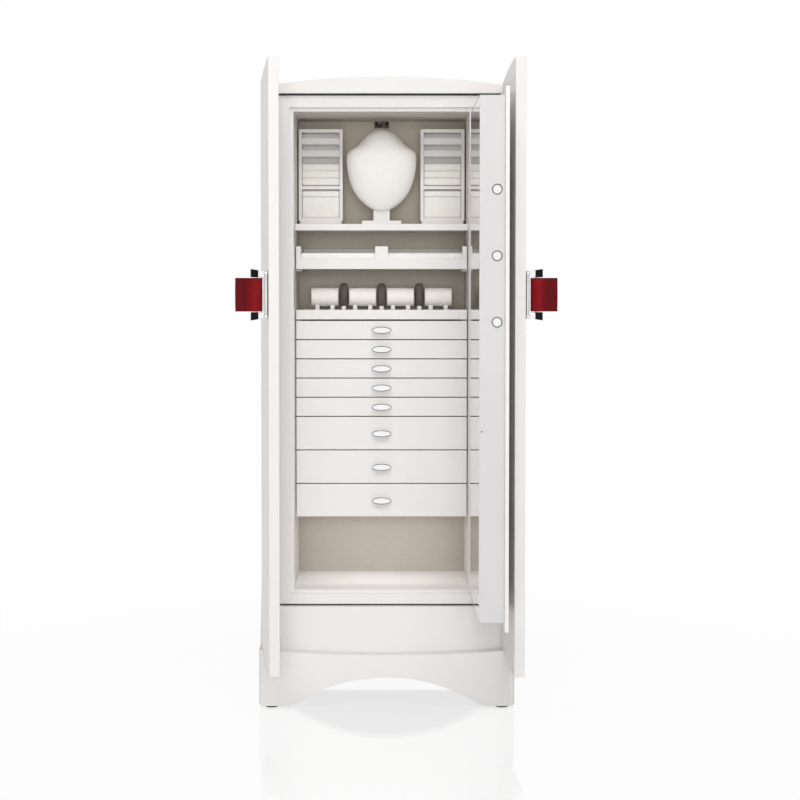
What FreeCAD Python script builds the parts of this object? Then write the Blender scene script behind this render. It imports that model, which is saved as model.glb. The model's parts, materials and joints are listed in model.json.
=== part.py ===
import FreeCAD, Part
import os
from math import cos, radians, sin, sqrt

Vector = FreeCAD.Vector

# Jewelry cabinet with a steel safe inside a lacquered carcass. Millimetres: X across, Y to the back, Z up.
# The pieces are drawn with Y = 0 on the carcass's front edges.
# The export moves the origin to the middle of the footprint.

# overall
overall_height = 1800.0
carcass_width = 710.0
carcass_depth = 420.0
edge_radius = 1.5  # small round on the edges of lacquered boards

# plinth
glide_height = 5.0
glide_radius = 18.0
front_glide_inset = 35.0
rear_glide_inset = 20.0
rear_glide_back = 34.0
plinth_height = 166.0
plinth_sag = 16.0  # how far its top edge dips at the middle
plinth_overhang = 7.0
plinth_lead = 46.0  # how far it stands in front of the carcass
plinth_corner = 8.0
plinth_foot_corner = 13.0  # rounding of the feet's outer lower corners
corner_lap = 0.2  # sets the feet's rounding a little outside the rounding in plan
plinth_rail_thickness = 40.0
plinth_back_thickness = 22.0
plinth_back_lift = 45.0
arch_inset = 77.0  # from the plinth's end to the start of the front arch
arch_height = 82.0
arch_foot_radius = 56.0
side_arch_inset = 95.0
side_arch_height = 52.0

# carcass
side_thickness = 18.0
side_flare = 6.0
flare_height = 430.0
crown_drop = 60.0  # the crown's underside below the tops of the doors
crown_height = 47.0
crown_rise = 27.0
back_thickness = 18.0
bottom_thickness = 24.0
fascia_thickness = 18.0
fascia_tongue = 32.0  # how far the lower fascia reaches down behind the plinth's front
shadow_gap = 5.0

# outer doors
door_thickness = 28.0
door_gap = 4.0  # between a closed door and the carcass
door_meeting_gap = 3.0
door_rise = 34.0
door_clearance = 4.5  # above the plinth
pivot_inset = 10.0  # pivot axis from the door's outer face and from its hinge edge
pivot_radius = 3.0
pivot_grip = 22.0  # how far a pivot pin is let into the door
pivot_clearance = 0.1
lug_radius = 5.5
lug_half_width = 4.0
lug_thickness = 8.0
lug_lift = 3.0  # lug above the crown's underside
notch_clearance = 1.5
bush_radius = 7.0
bush_length = 12.0
bush_sink = 1.0
bush_floor = 3.0
left_open_angle = 83.0
right_open_angle = 92.0

# door handles
handle_drop = 627.0  # a handle's middle below the tops of the doors
handle_edge = 24.0  # rod axis from the door's free edge
handle_reach = 33.0  # rod axis from the door's face
plate_width = 26.0
plate_thickness = 12.0
plate_height = 125.0
arm_root = 16.0
arm_flare = 5.5
arm_reach = 46.0
rod_radius = 6.0
pull_height = 89.0
pull_clearance = 0.3
pull_roll_radius = 18.0
pull_length = 54.0  # from the rod's axis to the tab's end
pull_tab_thickness = 8.0
pull_crease = 30.0  # where the roll has narrowed to the tab
pull_turn = 35.0  # angle from the roll's side to where the tab leaves it

# safe body
safe_setback = 20.0
safe_bottom = 286.0
safe_side_gap = 3.0
safe_back_gap = 4.0
frame_thickness = 10.0
shell_thickness = 5.0
latch_stile = 68.5  # from the safe's left side to the opening
hinge_stile = 98.5  # from the opening to the safe's right side
opening_sill = 39.0  # above the safe's bottom
opening_head = 44.0  # the opening's top below the safe's top
rebate = 11.0
jamb_thickness = 16.0
jamb_depth = 88.0
liner_thickness = 15.0
lining_thickness = 10.0
back_filling = 13.0  # between the back lining and the shell
anchor_radius = 6.5
anchor_pitch_x = 380.0
anchor_pitch_z = 380.0
anchor_height = 800.0

# safe door
seat_gap = 2.0  # between the door's plate and its rebate
case_gap = 12.0  # between the door's case and the opening
case_depth = 65.0
case_wall = 12.0
mirror_rim = 4.0
mirror_thickness = 5.0
mirror_gap = 0.3
safe_pivot_inset = 15.0  # from the safe's right side
safe_pivot_y = 10.0
knuckle_radius = 8.0
hinge_pin_radius = 4.0
hinge_pin_clearance = 0.1
knuckle_height = 60.0
frame_knuckle_height = 20.0
knuckle_gap = 0.5
strap_thickness = 8.0
strap_gap = 0.5
strap_length = 62.0  # how far a strap reaches over the door's plate
hinge_inset = 210.0
safe_open_angle = 90.0
bolt_radius = 12.0
bolt_clearance = 0.15
bolt_pitch = 168.5
bolt_drop = 418.0  # the middle bolt below the opening's top
bolt_setback = 30.0  # bolt axis behind the door's outer face
bolt_length = 60.0
bolt_proud = 1.0
bolt_throw = 22.0
strike_clearance = 1.0
bar_width = 14.0
bar_thickness = 12.0
bar_overrun = 22.0
knob_inset = 104.0  # knob axis from the case's free edge
knob_radius = 29.0
knob_depth = 5.5
knob_gap = 0.4
grip_width = 9.0
grip_height = 5.0
spindle_radius = 6.0
crank_thickness = 5.0
crank_gap = 1.0
crank_pin_radius = 4.0
crank_slot_clearance = 0.6
crank_slot_height = 15.0
crank_tab_height = 30.0
crank_margin = 8.0
crank_swing = 30.0  # to each side of upright, which moves the bar by the crank's radius
lock_drop = 110.0
lock_radius = 8.5
lock_flange = 12.0
lock_flange_thickness = 3.0
lock_length = 34.0

# inside the safe
fitting_gap = 2.0  # between the jamb's back and the front of the fittings
display_height = 316.0  # from the shelf to the opening's top
shelf_thickness = 19.0
deck_thickness = 9.0
runner_width = 18.0
runner_height = 6.0
runner_gap = 0.3
runner_inset = 10.0

# drawers
drawer_headroom = 3.0  # under the cushion tray
lower_space = 197.6  # height of the compartment below the drawers
small_count = 5
pitch_ratio = 1.7527  # a large drawer's height to a small one's
large_count = 3
front_side_gap = 2.5
front_gap = 2.6
front_thickness = 16.0
box_side_gap = 12.5
box_lift = 9.0
box_drop = 8.0
box_wall = 8.0
box_floor = 4.0
drawer_back_gap = 10.0
knob_oval_width = 56.0
knob_oval_height = 19.0
knob_head = 7.0
knob_stem = 13.0
knob_stem_width = 26.0
knob_stem_height = 8.0

# upper tray
upper_tray_space = 112.0  # from the tray's underside to the shelf
tray_rail_height = 31.0
tray_wall_height = 66.0
tray_back_height = 61.0
tray_rail_thickness = 14.0
tray_wall = 13.5
tray_floor = 8.0
tray_back_gap = 20.0
post_width = 38.0
post_flare = 11.0  # radius of the hollow where the rail sweeps up into a post
post_round = 4.0
divider_thickness = 10.0
divider_height = 46.0
pad_gap = 0.5
flat_pad_height = 40.0
flat_pad_round = 5.0
ring_roll_count = 6
ring_roll_side = 25.0
ring_roll_height = 40.0

# cushion tray
cushion_space = 146.0  # from this tray's underside to the upper tray's
cushion_rail_height = 28.0
cushion_side_gap = 29.3
cushion_count = 4
slim_gap = 2.3  # between a roll and the slim cushion beside it
cushion_radius = 28.0
cushion_crown = 1.5
cushion_round = 6.0
cushion_rise = 64.5  # cushion axis above the tray's underside
cushion_back = 70.0  # cushion axis behind the front plane
cradle_width = 12.0
cradle_depth = 34.0
cradle_rise = 10.0  # how far a cradle rises past the roll's underside
cradle_inset = 12.0
seat_clearance = 0.3
slim_width = 26.0
slim_depth = 44.0
slim_tall = 72.0
slim_rise = 70.0  # middle of a slim cushion above the tray's underside
slim_round = 7.0

# display fittings above the shelf
rack_width = 131.0
rack_side_gap = 4.5
rack_back_gap = 50.0  # between a rack and the back lining
rack_depth = 70.0
rack_headroom = 32.0
rack_foot = 12.0
rack_board = 10.0
rack_back = 8.0
rack_foot_inset = 4.0
rack_bar_height = 19.0
rack_bar_depth = 10.0
rack_bar_inset = 6.0
rack_bar_drop = 26.0
rack_bar_pitch = 36.0
ring_pad_drop = 101.0
ring_pad_height = 65.0
rack_pad_front = 10.0
rack_pad_round = 6.0
pad_slot_width = 1.6
pad_slot_depth = 9.0
rack_shelf_drop = 168.0
lower_pad_gap = 2.0
lower_slot_drop = 20.0
bust_width = 206.0
bust_headroom = 36.0
bust_depth = 54.0
bust_gap = 145.0  # between the form's flat back and the back lining
bust_lift = 41.0  # lowest point above the shelf
stand_width = 115.0
stand_depth = 70.0
stand_thickness = 11.0
stem_width = 48.0
stem_thickness = 12.0
stem_height = 125.0
hook_width = 44.0
hook_plate_height = 18.0
hook_plate_thickness = 4.0
hook_radius = 3.0
hook_reach = 20.0
hook_tip = 12.0
hook_drop = 2.0

# places worked out from the sizes above
carcass_half = carcass_width / 2
plinth_half = carcass_half + plinth_overhang
inner_half = carcass_half - side_thickness
arch_half = plinth_half - arch_inset
carcass_back = carcass_depth - back_thickness
crown_base = overall_height - crown_drop
crown_peak = crown_base + crown_height
handle_height = overall_height - handle_drop
safe_half = inner_half - safe_side_gap
safe_top = crown_base - shadow_gap
frame_back = safe_setback + frame_thickness
shell_back = carcass_back - safe_back_gap
opening_left = -safe_half + latch_stile
opening_right = safe_half - hinge_stile
opening_width = opening_right - opening_left
opening_offset = (opening_left + opening_right) / 2
sill = safe_bottom + opening_sill
head = safe_top - opening_head
jamb_back = frame_back + jamb_depth
lining_face = shell_back - shell_thickness - back_filling - lining_thickness
fitting_front = jamb_back + fitting_gap
case_left = opening_left + case_gap
case_right = opening_right - case_gap
case_bottom = sill + case_gap
case_top = head - case_gap
case_back = frame_back + case_depth
safe_pivot_x = safe_half - safe_pivot_inset
pivot_x = carcass_half - pivot_inset
pivot_y = -(door_gap + door_thickness - pivot_inset)
door_inner = -door_gap
door_outer = -(door_gap + door_thickness)
shelf_top = head - display_height
tray_bottom = shelf_top - shelf_thickness - upper_tray_space
cushion_tray_bottom = tray_bottom - cushion_space
cushion_height = cushion_tray_bottom + cushion_rise
slim_height = cushion_tray_bottom + slim_rise
cushion_pitch = (opening_width - 2 * cushion_side_gap) / cushion_count
cushion_length = cushion_pitch - slim_width - 2 * slim_gap
drawer_top = cushion_tray_bottom - drawer_headroom
small_pitch = (drawer_top - sill - lower_space) / (small_count + pitch_ratio * large_count)
large_pitch = pitch_ratio * small_pitch
rack_top = head - rack_headroom
rack_front = lining_face - rack_back_gap - rack_depth
bust_back = lining_face - bust_gap
bust_height = display_height - bust_lift - bust_headroom
bolt_axis_y = safe_setback + bolt_setback
bolt_middle = head - bolt_drop
bolt_heights = [bolt_middle + bolt_pitch * step for step in (-1, 0, 1)]

nodes = {}


def ring(x0, x1, y0, y1, z0, z1, side):
    # four boards round an opening: two full-height stiles and two rails between them
    return [
        box(x0, x0 + side, y0, y1, z0, z1),
        box(x1 - side, x1, y0, y1, z0, z1),
        box(x0 + side, x1 - side, y0, y1, z0, z0 + side),
        box(x0 + side, x1 - side, y0, y1, z1 - side, z1),
    ]


def keep(name, *shapes):
    nodes[name] = [solid for shape in shapes for solid in shape.Solids]


def box(x0, x1, y0, y1, z0, z1):
    return Part.makeBox(x1 - x0, y1 - y0, z1 - z0, Vector(x0, y0, z0))


def soft_box(x0, x1, y0, y1, z0, z1, radius=edge_radius):
    block = box(x0, x1, y0, y1, z0, z1)
    return block.makeFillet(radius, block.Edges)


def post(x, y, z0, z1, radius):
    return Part.makeCylinder(radius, z1 - z0, Vector(x, y, z0))


def rod_y(x, z, y0, y1, radius):
    return Part.makeCylinder(radius, y1 - y0, Vector(x, y0, z), Vector(0, 1, 0))


def rod_x(y, z, x0, x1, radius):
    return Part.makeCylinder(radius, x1 - x0, Vector(x0, y, z), Vector(1, 0, 0))


def line(a, b):
    return Part.LineSegment(a, b).toShape()


def arc(a, middle, b):
    return Part.Arc(a, middle, b).toShape()


def prism(edges, direction):
    return Part.Face(Part.Wire(edges)).extrude(direction)


def polygon_prism(points, direction):
    return Part.Face(Part.makePolygon(points + points[:1])).extrude(direction)


def bow_drop(distance, half_span, rise):
    # how far an arc of this rise has fallen at a distance from its middle
    radius = (half_span**2 + rise**2) / (2 * rise)
    return radius - sqrt(radius**2 - distance**2)


def plinth_top(x):
    return plinth_height - plinth_sag + bow_drop(x, plinth_half, plinth_sag)


def crown_top(x):
    return crown_peak - bow_drop(x, carcass_half, crown_rise)


def door_top(x):
    return overall_height - bow_drop(x, carcass_half, door_rise)


def door_bottom(x):
    return plinth_top(x) + door_clearance


def arch_edges(half, height, foot_radius, place):
    # a plinth arch from its right foot to its left one: two convex feet and one wide bow between them
    both_radii = (half**2 + height**2) / (2 * height)
    join = foot_radius / both_radii
    lean_x = -half / both_radii
    lean_z = (height - both_radii) / both_radii
    mid_x, mid_z = lean_x, lean_z - 1
    mid_length = sqrt(mid_x**2 + mid_z**2)
    foot_middle = (half + foot_radius * mid_x / mid_length, foot_radius + foot_radius * mid_z / mid_length)
    turn = (half * (1 - join), foot_radius + foot_radius * lean_z)
    right = arc(place(half, 0), place(*foot_middle), place(*turn))
    bow = arc(place(*turn), place(0, height), place(-turn[0], turn[1]))
    left = arc(place(-turn[0], turn[1]), place(-foot_middle[0], foot_middle[1]), place(-half, 0))
    return [right, bow, left]


def mirrored(shape):
    return shape.mirror(Vector(0, 0, 0), Vector(1, 0, 0))


def swung(shape, x, y, angle):
    turned = shape.copy()
    turned.rotate(Vector(x, y, 0), Vector(0, 0, 1), angle)
    return turned


def make_plinth():
    # front: arched foot, dipping top edge and rounded corners
    front = -plinth_lead
    corner = plinth_corner
    bottom = glide_height
    foot = plinth_foot_corner
    cut = foot * (1 - sqrt(0.5))

    def place(x, z):
        return Vector(x, front, z)

    def arch_place(x, z):
        return Vector(x, front, bottom + z)

    half = plinth_half + corner_lap
    edges = [
        line(place(-half, bottom + foot), place(-half, plinth_height)),
        arc(place(-half, plinth_height), place(0, plinth_top(0)), place(half, plinth_height)),
        line(place(half, plinth_height), place(half, bottom + foot)),
        arc(
            place(half, bottom + foot),
            place(half - cut, bottom + cut),
            place(half - foot, bottom),
        ),
        line(place(half - foot, bottom), place(arch_half, bottom)),
        *arch_edges(arch_half, arch_height, arch_foot_radius, arch_place),
        line(place(-arch_half, bottom), place(-half + foot, bottom)),
        arc(
            place(-half + foot, bottom),
            place(-half + cut, bottom + cut),
            place(-half, bottom + foot),
        ),
    ]
    board = prism(edges, Vector(0, plinth_lead, 0))
    plan = box(-plinth_half, plinth_half, front, 0, 0, 2 * plinth_height)
    upright = [e for e in plan.Edges if e.BoundBox.ZLength > plinth_height and e.BoundBox.YMax < -1]
    board = board.common(plan.makeFillet(corner, upright))
    for side in (-1, 1):
        bush_top = plinth_top(pivot_x) - bush_sink
        board = board.cut(post(side * pivot_x, pivot_y, bush_top - bush_length, plinth_height, bush_radius))
    keep("plinth_front", board.Solids[0])

    # sides and back
    half_run = carcass_depth / 2 - side_arch_inset
    middle = carcass_depth / 2

    def side_place(y, z):
        return Vector(plinth_half, middle + y, bottom + z)

    arch = arch_edges(half_run, side_arch_height, side_arch_height, side_place)
    arch.append(line(side_place(-half_run, 0), side_place(half_run, 0)))
    rail = box(plinth_half - plinth_rail_thickness, plinth_half, 0, carcass_depth, bottom, plinth_height)
    rail = rail.cut(prism(arch, Vector(-plinth_rail_thickness, 0, 0)))
    inner = plinth_half - plinth_rail_thickness
    back_front = carcass_depth - plinth_back_thickness
    back = box(-inner, inner, back_front, carcass_depth, bottom + plinth_back_lift, plinth_height)
    keep("plinth_rails", mirrored(rail), rail, back)

    glides = []
    for side in (-1, 1):
        front_x = side * (plinth_half - front_glide_inset)
        rear_x = side * (plinth_half - rear_glide_inset)
        glides.append(post(front_x, -plinth_lead / 2, 0, bottom, glide_radius))
        glides.append(post(rear_x, carcass_depth - rear_glide_back, 0, bottom, glide_radius))
    keep("floor_glides", *glides)


def make_carcass():
    foot = carcass_half + side_flare
    half_drop = bow_drop(flare_height / 2, flare_height, side_flare)
    flare_top = plinth_height + flare_height

    def place(x, z):
        return Vector(x, 0, z)

    edges = [
        line(place(inner_half, plinth_height), place(foot, plinth_height)),
        arc(
            place(foot, plinth_height),
            place(carcass_half + half_drop, plinth_height + flare_height / 2),
            place(carcass_half, flare_top),
        ),
        line(place(carcass_half, flare_top), place(carcass_half, crown_base)),
        line(place(carcass_half, crown_base), place(inner_half, crown_base)),
        line(place(inner_half, crown_base), place(inner_half, plinth_height)),
    ]
    side = prism(edges, Vector(0, carcass_depth, 0))
    keep("side_panels", mirrored(side), side)

    crown_edges = [
        line(place(-carcass_half, crown_base), place(carcass_half, crown_base)),
        line(place(carcass_half, crown_base), place(carcass_half, crown_top(carcass_half))),
        arc(
            place(carcass_half, crown_top(carcass_half)),
            place(0, crown_peak),
            place(-carcass_half, crown_top(carcass_half)),
        ),
        line(place(-carcass_half, crown_top(carcass_half)), place(-carcass_half, crown_base)),
    ]
    crown = prism(crown_edges, Vector(0, carcass_depth, 0))
    keep("crown", crown.makeFillet(edge_radius, crown.Edges))

    back = box(-inner_half, inner_half, carcass_back, carcass_depth, plinth_height, crown_base)
    keep("back_panel", anchored(back))
    bottom_top = safe_bottom
    bottom = box(
        -inner_half, inner_half, fascia_thickness, carcass_back, bottom_top - bottom_thickness, bottom_top
    )
    keep("bottom_panel", bottom)
    fascia = box(-inner_half, inner_half, 0, fascia_thickness, plinth_height, safe_bottom - shadow_gap)
    tongue_half = plinth_half - plinth_rail_thickness
    tongue = box(
        -tongue_half, tongue_half, 0, fascia_thickness, plinth_height - fascia_tongue, plinth_height
    )
    keep("lower_fascia", fascia.fuse(tongue).removeSplitter().Solids[0])


def anchored(board):
    # four holes right through for the bolts that hold the safe to a wall
    for across in (-0.5, 0.5):
        for up in (-0.5, 0.5):
            x = opening_offset + across * anchor_pitch_x
            z = anchor_height + up * anchor_pitch_z
            board = board.cut(rod_y(x, z, lining_face - 1, carcass_depth + 1, anchor_radius))
    return board.Solids[0]


def make_safe_body():
    wall = shell_thickness
    shell = ring(-safe_half, safe_half, frame_back, shell_back, safe_bottom, safe_top, wall)
    back = box(
        -safe_half + wall,
        safe_half - wall,
        shell_back - wall,
        shell_back,
        safe_bottom + wall,
        safe_top - wall,
    )
    keep("safe_shell", *shell, anchored(back))

    mouth_left = opening_left - rebate
    mouth_right = opening_right + rebate
    mouth_low = sill - rebate
    mouth_high = head + rebate
    keep(
        "safe_frame",
        box(-safe_half, mouth_left, safe_setback, frame_back, safe_bottom, safe_top),
        box(mouth_right, safe_half, safe_setback, frame_back, safe_bottom, safe_top),
        box(mouth_left, mouth_right, safe_setback, frame_back, safe_bottom, mouth_low),
        box(mouth_left, mouth_right, safe_setback, frame_back, mouth_high, safe_top),
    )

    rim = jamb_thickness
    jambs = ring(opening_left - rim, opening_right + rim, frame_back, jamb_back, sill - rim, head + rim, rim)
    for z in bolt_heights:
        hole = rod_x(bolt_axis_y, z, opening_left - rim, opening_left, bolt_radius + strike_clearance)
        jambs[0] = jambs[0].cut(hole)
    keep("safe_jamb", *jambs)

    side = liner_thickness
    low = sill - side
    high = head + side
    left = box(opening_left - side, opening_left, jamb_back, lining_face, low, high)
    right = box(opening_right, opening_right + side, jamb_back, lining_face, low, high)
    top = box(opening_left, opening_right, jamb_back, lining_face, head, high)
    keep("liner_panels", left, right, top)
    keep("liner_floor", box(opening_left, opening_right, jamb_back, lining_face, low, sill))
    back = box(
        opening_left - side, opening_right + side, lining_face, lining_face + lining_thickness, low, high
    )
    keep("back_lining", anchored(back))


def make_shelves():
    shelf = soft_box(
        opening_left, opening_right, fitting_front, lining_face, shelf_top - shelf_thickness, shelf_top
    )
    deck_bottom = drawer_bottoms()[-1] + front_gap / 2
    deck_front = fitting_front + front_thickness + fitting_gap
    deck_top = deck_bottom + deck_thickness
    deck = box(opening_left, opening_right, deck_front, lining_face, deck_bottom, deck_top)
    keep("fixed_shelves", shelf, deck)


def drawer_pitches():
    return [small_pitch] * small_count + [large_pitch] * large_count


def drawer_bottoms():
    bottoms = []
    z = drawer_top
    for pitch in drawer_pitches():
        z -= pitch
        bottoms.append(z)
    return bottoms


def runner_pair(top):
    front = fitting_front + front_thickness + runner_inset
    back = lining_face - runner_inset
    low = top - runner_height
    left = box(opening_left, opening_left + runner_width, front, back, low, top)
    right = box(opening_right - runner_width, opening_right, front, back, low, top)
    return [left, right]


def make_drawers():
    runners = []
    front_half = opening_width / 2 - front_side_gap
    box_half = opening_width / 2 - box_side_gap
    back = lining_face - drawer_back_gap
    face = fitting_front
    shoulder = face + front_thickness
    for number, (bottom, pitch) in enumerate(zip(drawer_bottoms(), drawer_pitches()), 1):
        lift = box_lift
        if number == small_count + large_count:
            lift = front_gap / 2 + deck_thickness + runner_gap + runner_height
        low = bottom + lift
        high = bottom + pitch - box_drop
        left = opening_offset - box_half
        right = opening_offset + box_half
        front = soft_box(
            opening_offset - front_half,
            opening_offset + front_half,
            face,
            shoulder,
            bottom + front_gap / 2,
            bottom + pitch - front_gap / 2,
        )
        left_side = box(left, left + box_wall, shoulder, back, low, high)
        right_side = box(right - box_wall, right, shoulder, back, low, high)
        rear = box(left + box_wall, right - box_wall, back - box_wall, back, low, high)
        floor = box(left + box_wall, right - box_wall, shoulder, back - box_wall, low, low + box_floor)
        keep(f"drawer_{number}", front, left_side, right_side, rear, floor)
        keep(f"drawer_knob_{number}", *drawer_knob(face, bottom + pitch / 2))
        runners += runner_pair(low - runner_gap)
    return runners


def oval(width, height, y, depth, z):
    curve = Part.Ellipse(
        Vector(opening_offset + width / 2, y, z),
        Vector(opening_offset, y, z + height / 2),
        Vector(opening_offset, y, z),
    )
    return Part.Face(Part.Wire(curve.toShape())).extrude(Vector(0, depth, 0))


def drawer_knob(face, z):
    grip = oval(knob_oval_width, knob_oval_height, face - knob_stem - knob_head, knob_head, z)
    rims = [edge for edge in grip.Edges if edge.BoundBox.YLength < knob_head / 2]
    stem = oval(knob_stem_width, knob_stem_height, face - knob_stem, knob_stem, z)
    return [grip.makeFillet(edge_radius, rims), stem]


def tray_post(x, width, front, low):
    # a post on the tray's front rail, with a hollow at each foot and rounded top corners
    half = width / 2
    foot = low + tray_rail_height
    top = low + tray_wall_height
    flare_bend = post_flare * (1 - sqrt(0.5))
    round_bend = post_round * (1 - sqrt(0.5))

    def place(out, z):
        return Vector(x + out, front, z)

    edges = [line(place(half + post_flare, foot), place(-half - post_flare, foot))]
    for side in (-1, 1):
        edges += [
            arc(
                place(side * (half + post_flare), foot),
                place(side * (half + flare_bend), foot + flare_bend),
                place(side * half, foot + post_flare),
            ),
            line(place(side * half, foot + post_flare), place(side * half, top - post_round)),
            arc(
                place(side * half, top - post_round),
                place(side * (half - round_bend), top - round_bend),
                place(side * (half - post_round), top),
            ),
        ]
    edges.append(line(place(-half + post_round, top), place(half - post_round, top)))
    return prism(Part.sortEdges(edges)[0], Vector(0, tray_rail_thickness, 0))


def tray_front(left, right, front, low):
    # the front board: a low rail with a post at each end and one in the middle
    inside = front + tray_rail_thickness
    board = box(left, right, front, inside, low, low + tray_rail_height)
    board = board.fuse(tray_post(opening_offset, post_width, front, low))
    for x in (left + tray_wall / 2, right - tray_wall / 2):
        board = board.fuse(tray_post(x, tray_wall, front, low))
    board = board.common(box(left, right, front, inside, low, low + tray_wall_height)).removeSplitter()
    face = min(board.Faces, key=lambda side: side.CenterOfMass.y)
    return board.makeFillet(edge_radius, face.Edges)


def make_upper_tray():
    half = opening_width / 2 - front_side_gap
    left = opening_offset - half
    right = opening_offset + half
    front = fitting_front
    inside = front + tray_rail_thickness
    back = lining_face - tray_back_gap
    low = tray_bottom
    floor_top = low + tray_floor
    well_left = left + tray_wall
    well_right = right - tray_wall
    well_back = back - tray_wall
    middle = opening_offset
    keep(
        "upper_tray",
        tray_front(left, right, front, low),
        soft_box(left, well_left, inside, back, low, low + tray_wall_height),
        soft_box(well_right, right, inside, back, low, low + tray_wall_height),
        box(well_left, well_right, well_back, back, low, low + tray_back_height),
        box(well_left, well_right, inside, well_back, low, floor_top),
        box(
            middle - divider_thickness / 2,
            middle + divider_thickness / 2,
            inside,
            well_back,
            floor_top,
            floor_top + divider_height,
        ),
    )

    pad_front = inside + pad_gap
    pad_back = well_back - pad_gap
    pad_edge = divider_thickness / 2 + pad_gap
    flat = soft_box(
        well_left + pad_gap,
        middle - pad_edge,
        pad_front,
        pad_back,
        floor_top,
        floor_top + flat_pad_height,
        flat_pad_round,
    )
    rolls = []
    roll_depth = (pad_back - pad_front) / ring_roll_count
    roll_left = middle + pad_edge
    roll_run = Vector(well_right - pad_gap - roll_left, 0, 0)
    for step in range(ring_roll_count):
        y0 = pad_front + step * roll_depth
        y1 = y0 + roll_depth

        def place(y, z):
            return Vector(roll_left, y, floor_top + z)

        outline = [
            line(place(y0, 0), place(y0, ring_roll_side)),
            arc(
                place(y0, ring_roll_side),
                place((y0 + y1) / 2, ring_roll_height),
                place(y1, ring_roll_side),
            ),
            line(place(y1, ring_roll_side), place(y1, 0)),
            line(place(y1, 0), place(y0, 0)),
        ]
        rolls.append(prism(outline, roll_run))
    keep("tray_pads", flat, *rolls)
    return runner_pair(low - runner_gap)


def cushion_places():
    first = opening_offset - cushion_pitch * (cushion_count - 1) / 2
    return [first + cushion_pitch * step for step in range(cushion_count)]


def roll_cushion(x, y, z):
    # a stuffed roll: crowned along its length and rounded at both ends
    half = cushion_length / 2
    soft = cushion_round
    waist = cushion_radius - cushion_crown
    corner = soft * sqrt(0.5)

    def place(along, radius):
        return Vector(x + along, y, z + radius)

    outline = [
        line(place(-half, 0), place(-half, waist - soft)),
        arc(
            place(-half, waist - soft),
            place(-half + soft - corner, waist - soft + corner),
            place(-half + soft, waist),
        ),
        arc(place(-half + soft, waist), place(0, cushion_radius), place(half - soft, waist)),
        arc(
            place(half - soft, waist),
            place(half - soft + corner, waist - soft + corner),
            place(half, waist - soft),
        ),
        line(place(half, waist - soft), place(half, 0)),
        line(place(half, 0), place(-half, 0)),
    ]
    face = Part.Face(Part.Wire(outline))
    return face.revolve(Vector(x, y, z), Vector(1, 0, 0), 360)


def make_cushion_tray():
    half = opening_width / 2 - front_side_gap
    left = opening_offset - half
    right = opening_offset + half
    front = fitting_front
    inside = front + tray_rail_thickness
    back = lining_face - tray_back_gap
    low = cushion_tray_bottom
    high = low + cushion_rail_height
    floor_top = low + tray_floor
    boards = [
        soft_box(left, right, front, inside, low, high),
        box(left, left + tray_wall, inside, back, low, high),
        box(right - tray_wall, right, inside, back, low, high),
        box(left + tray_wall, right - tray_wall, back - tray_wall, back, low, high),
        box(left + tray_wall, right - tray_wall, inside, back - tray_wall, low, floor_top),
    ]
    axis_y = front + cushion_back
    rolls = []
    slims = []
    places = cushion_places()
    cradle_top = cushion_height - cushion_radius + cradle_rise
    for x in places:
        rolls.append(roll_cushion(x, axis_y, cushion_height))
        trough = rod_x(
            axis_y, cushion_height, x - cushion_length, x + cushion_length, cushion_radius + seat_clearance
        )
        for side in (-1, 1):
            middle = x + side * (cushion_length / 2 - cradle_inset - cradle_width / 2)
            block = box(
                middle - cradle_width / 2,
                middle + cradle_width / 2,
                axis_y - cradle_depth / 2,
                axis_y + cradle_depth / 2,
                floor_top,
                cradle_top,
            )
            boards.append(block.cut(trough).Solids[0])
    for a, b in zip(places, places[1:]):
        x = (a + b) / 2
        form = slim_cushion(x, axis_y)
        slims.append(form)
        foot = box(
            x - cradle_width / 2,
            x + cradle_width / 2,
            axis_y - slim_depth / 4,
            axis_y + slim_depth / 4,
            floor_top,
            slim_height - slim_tall / 2 + cradle_rise,
        )
        grown = oval_prism(
            x - slim_width,
            2 * slim_width,
            axis_y,
            slim_depth + 2 * seat_clearance,
            slim_tall + 2 * seat_clearance,
        )
        boards.append(foot.cut(grown).Solids[0])
    keep("cushion_tray", *boards)
    keep("roll_cushions", *rolls)
    keep("slim_cushions", *slims)
    return runner_pair(low - runner_gap)


def oval_prism(x0, length, y, depth, tall):
    curve = Part.Ellipse(
        Vector(x0, y, slim_height + tall / 2),
        Vector(x0, y + depth / 2, slim_height),
        Vector(x0, y, slim_height),
    )
    return Part.Face(Part.Wire(curve.toShape())).extrude(Vector(length, 0, 0))


def slim_cushion(x, y):
    block = oval_prism(x - slim_width / 2, slim_width, y, slim_depth, slim_tall)
    ends = [e for e in block.Edges if e.BoundBox.XLength < slim_width / 2]
    return block.makeFillet(slim_round, ends)


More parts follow.
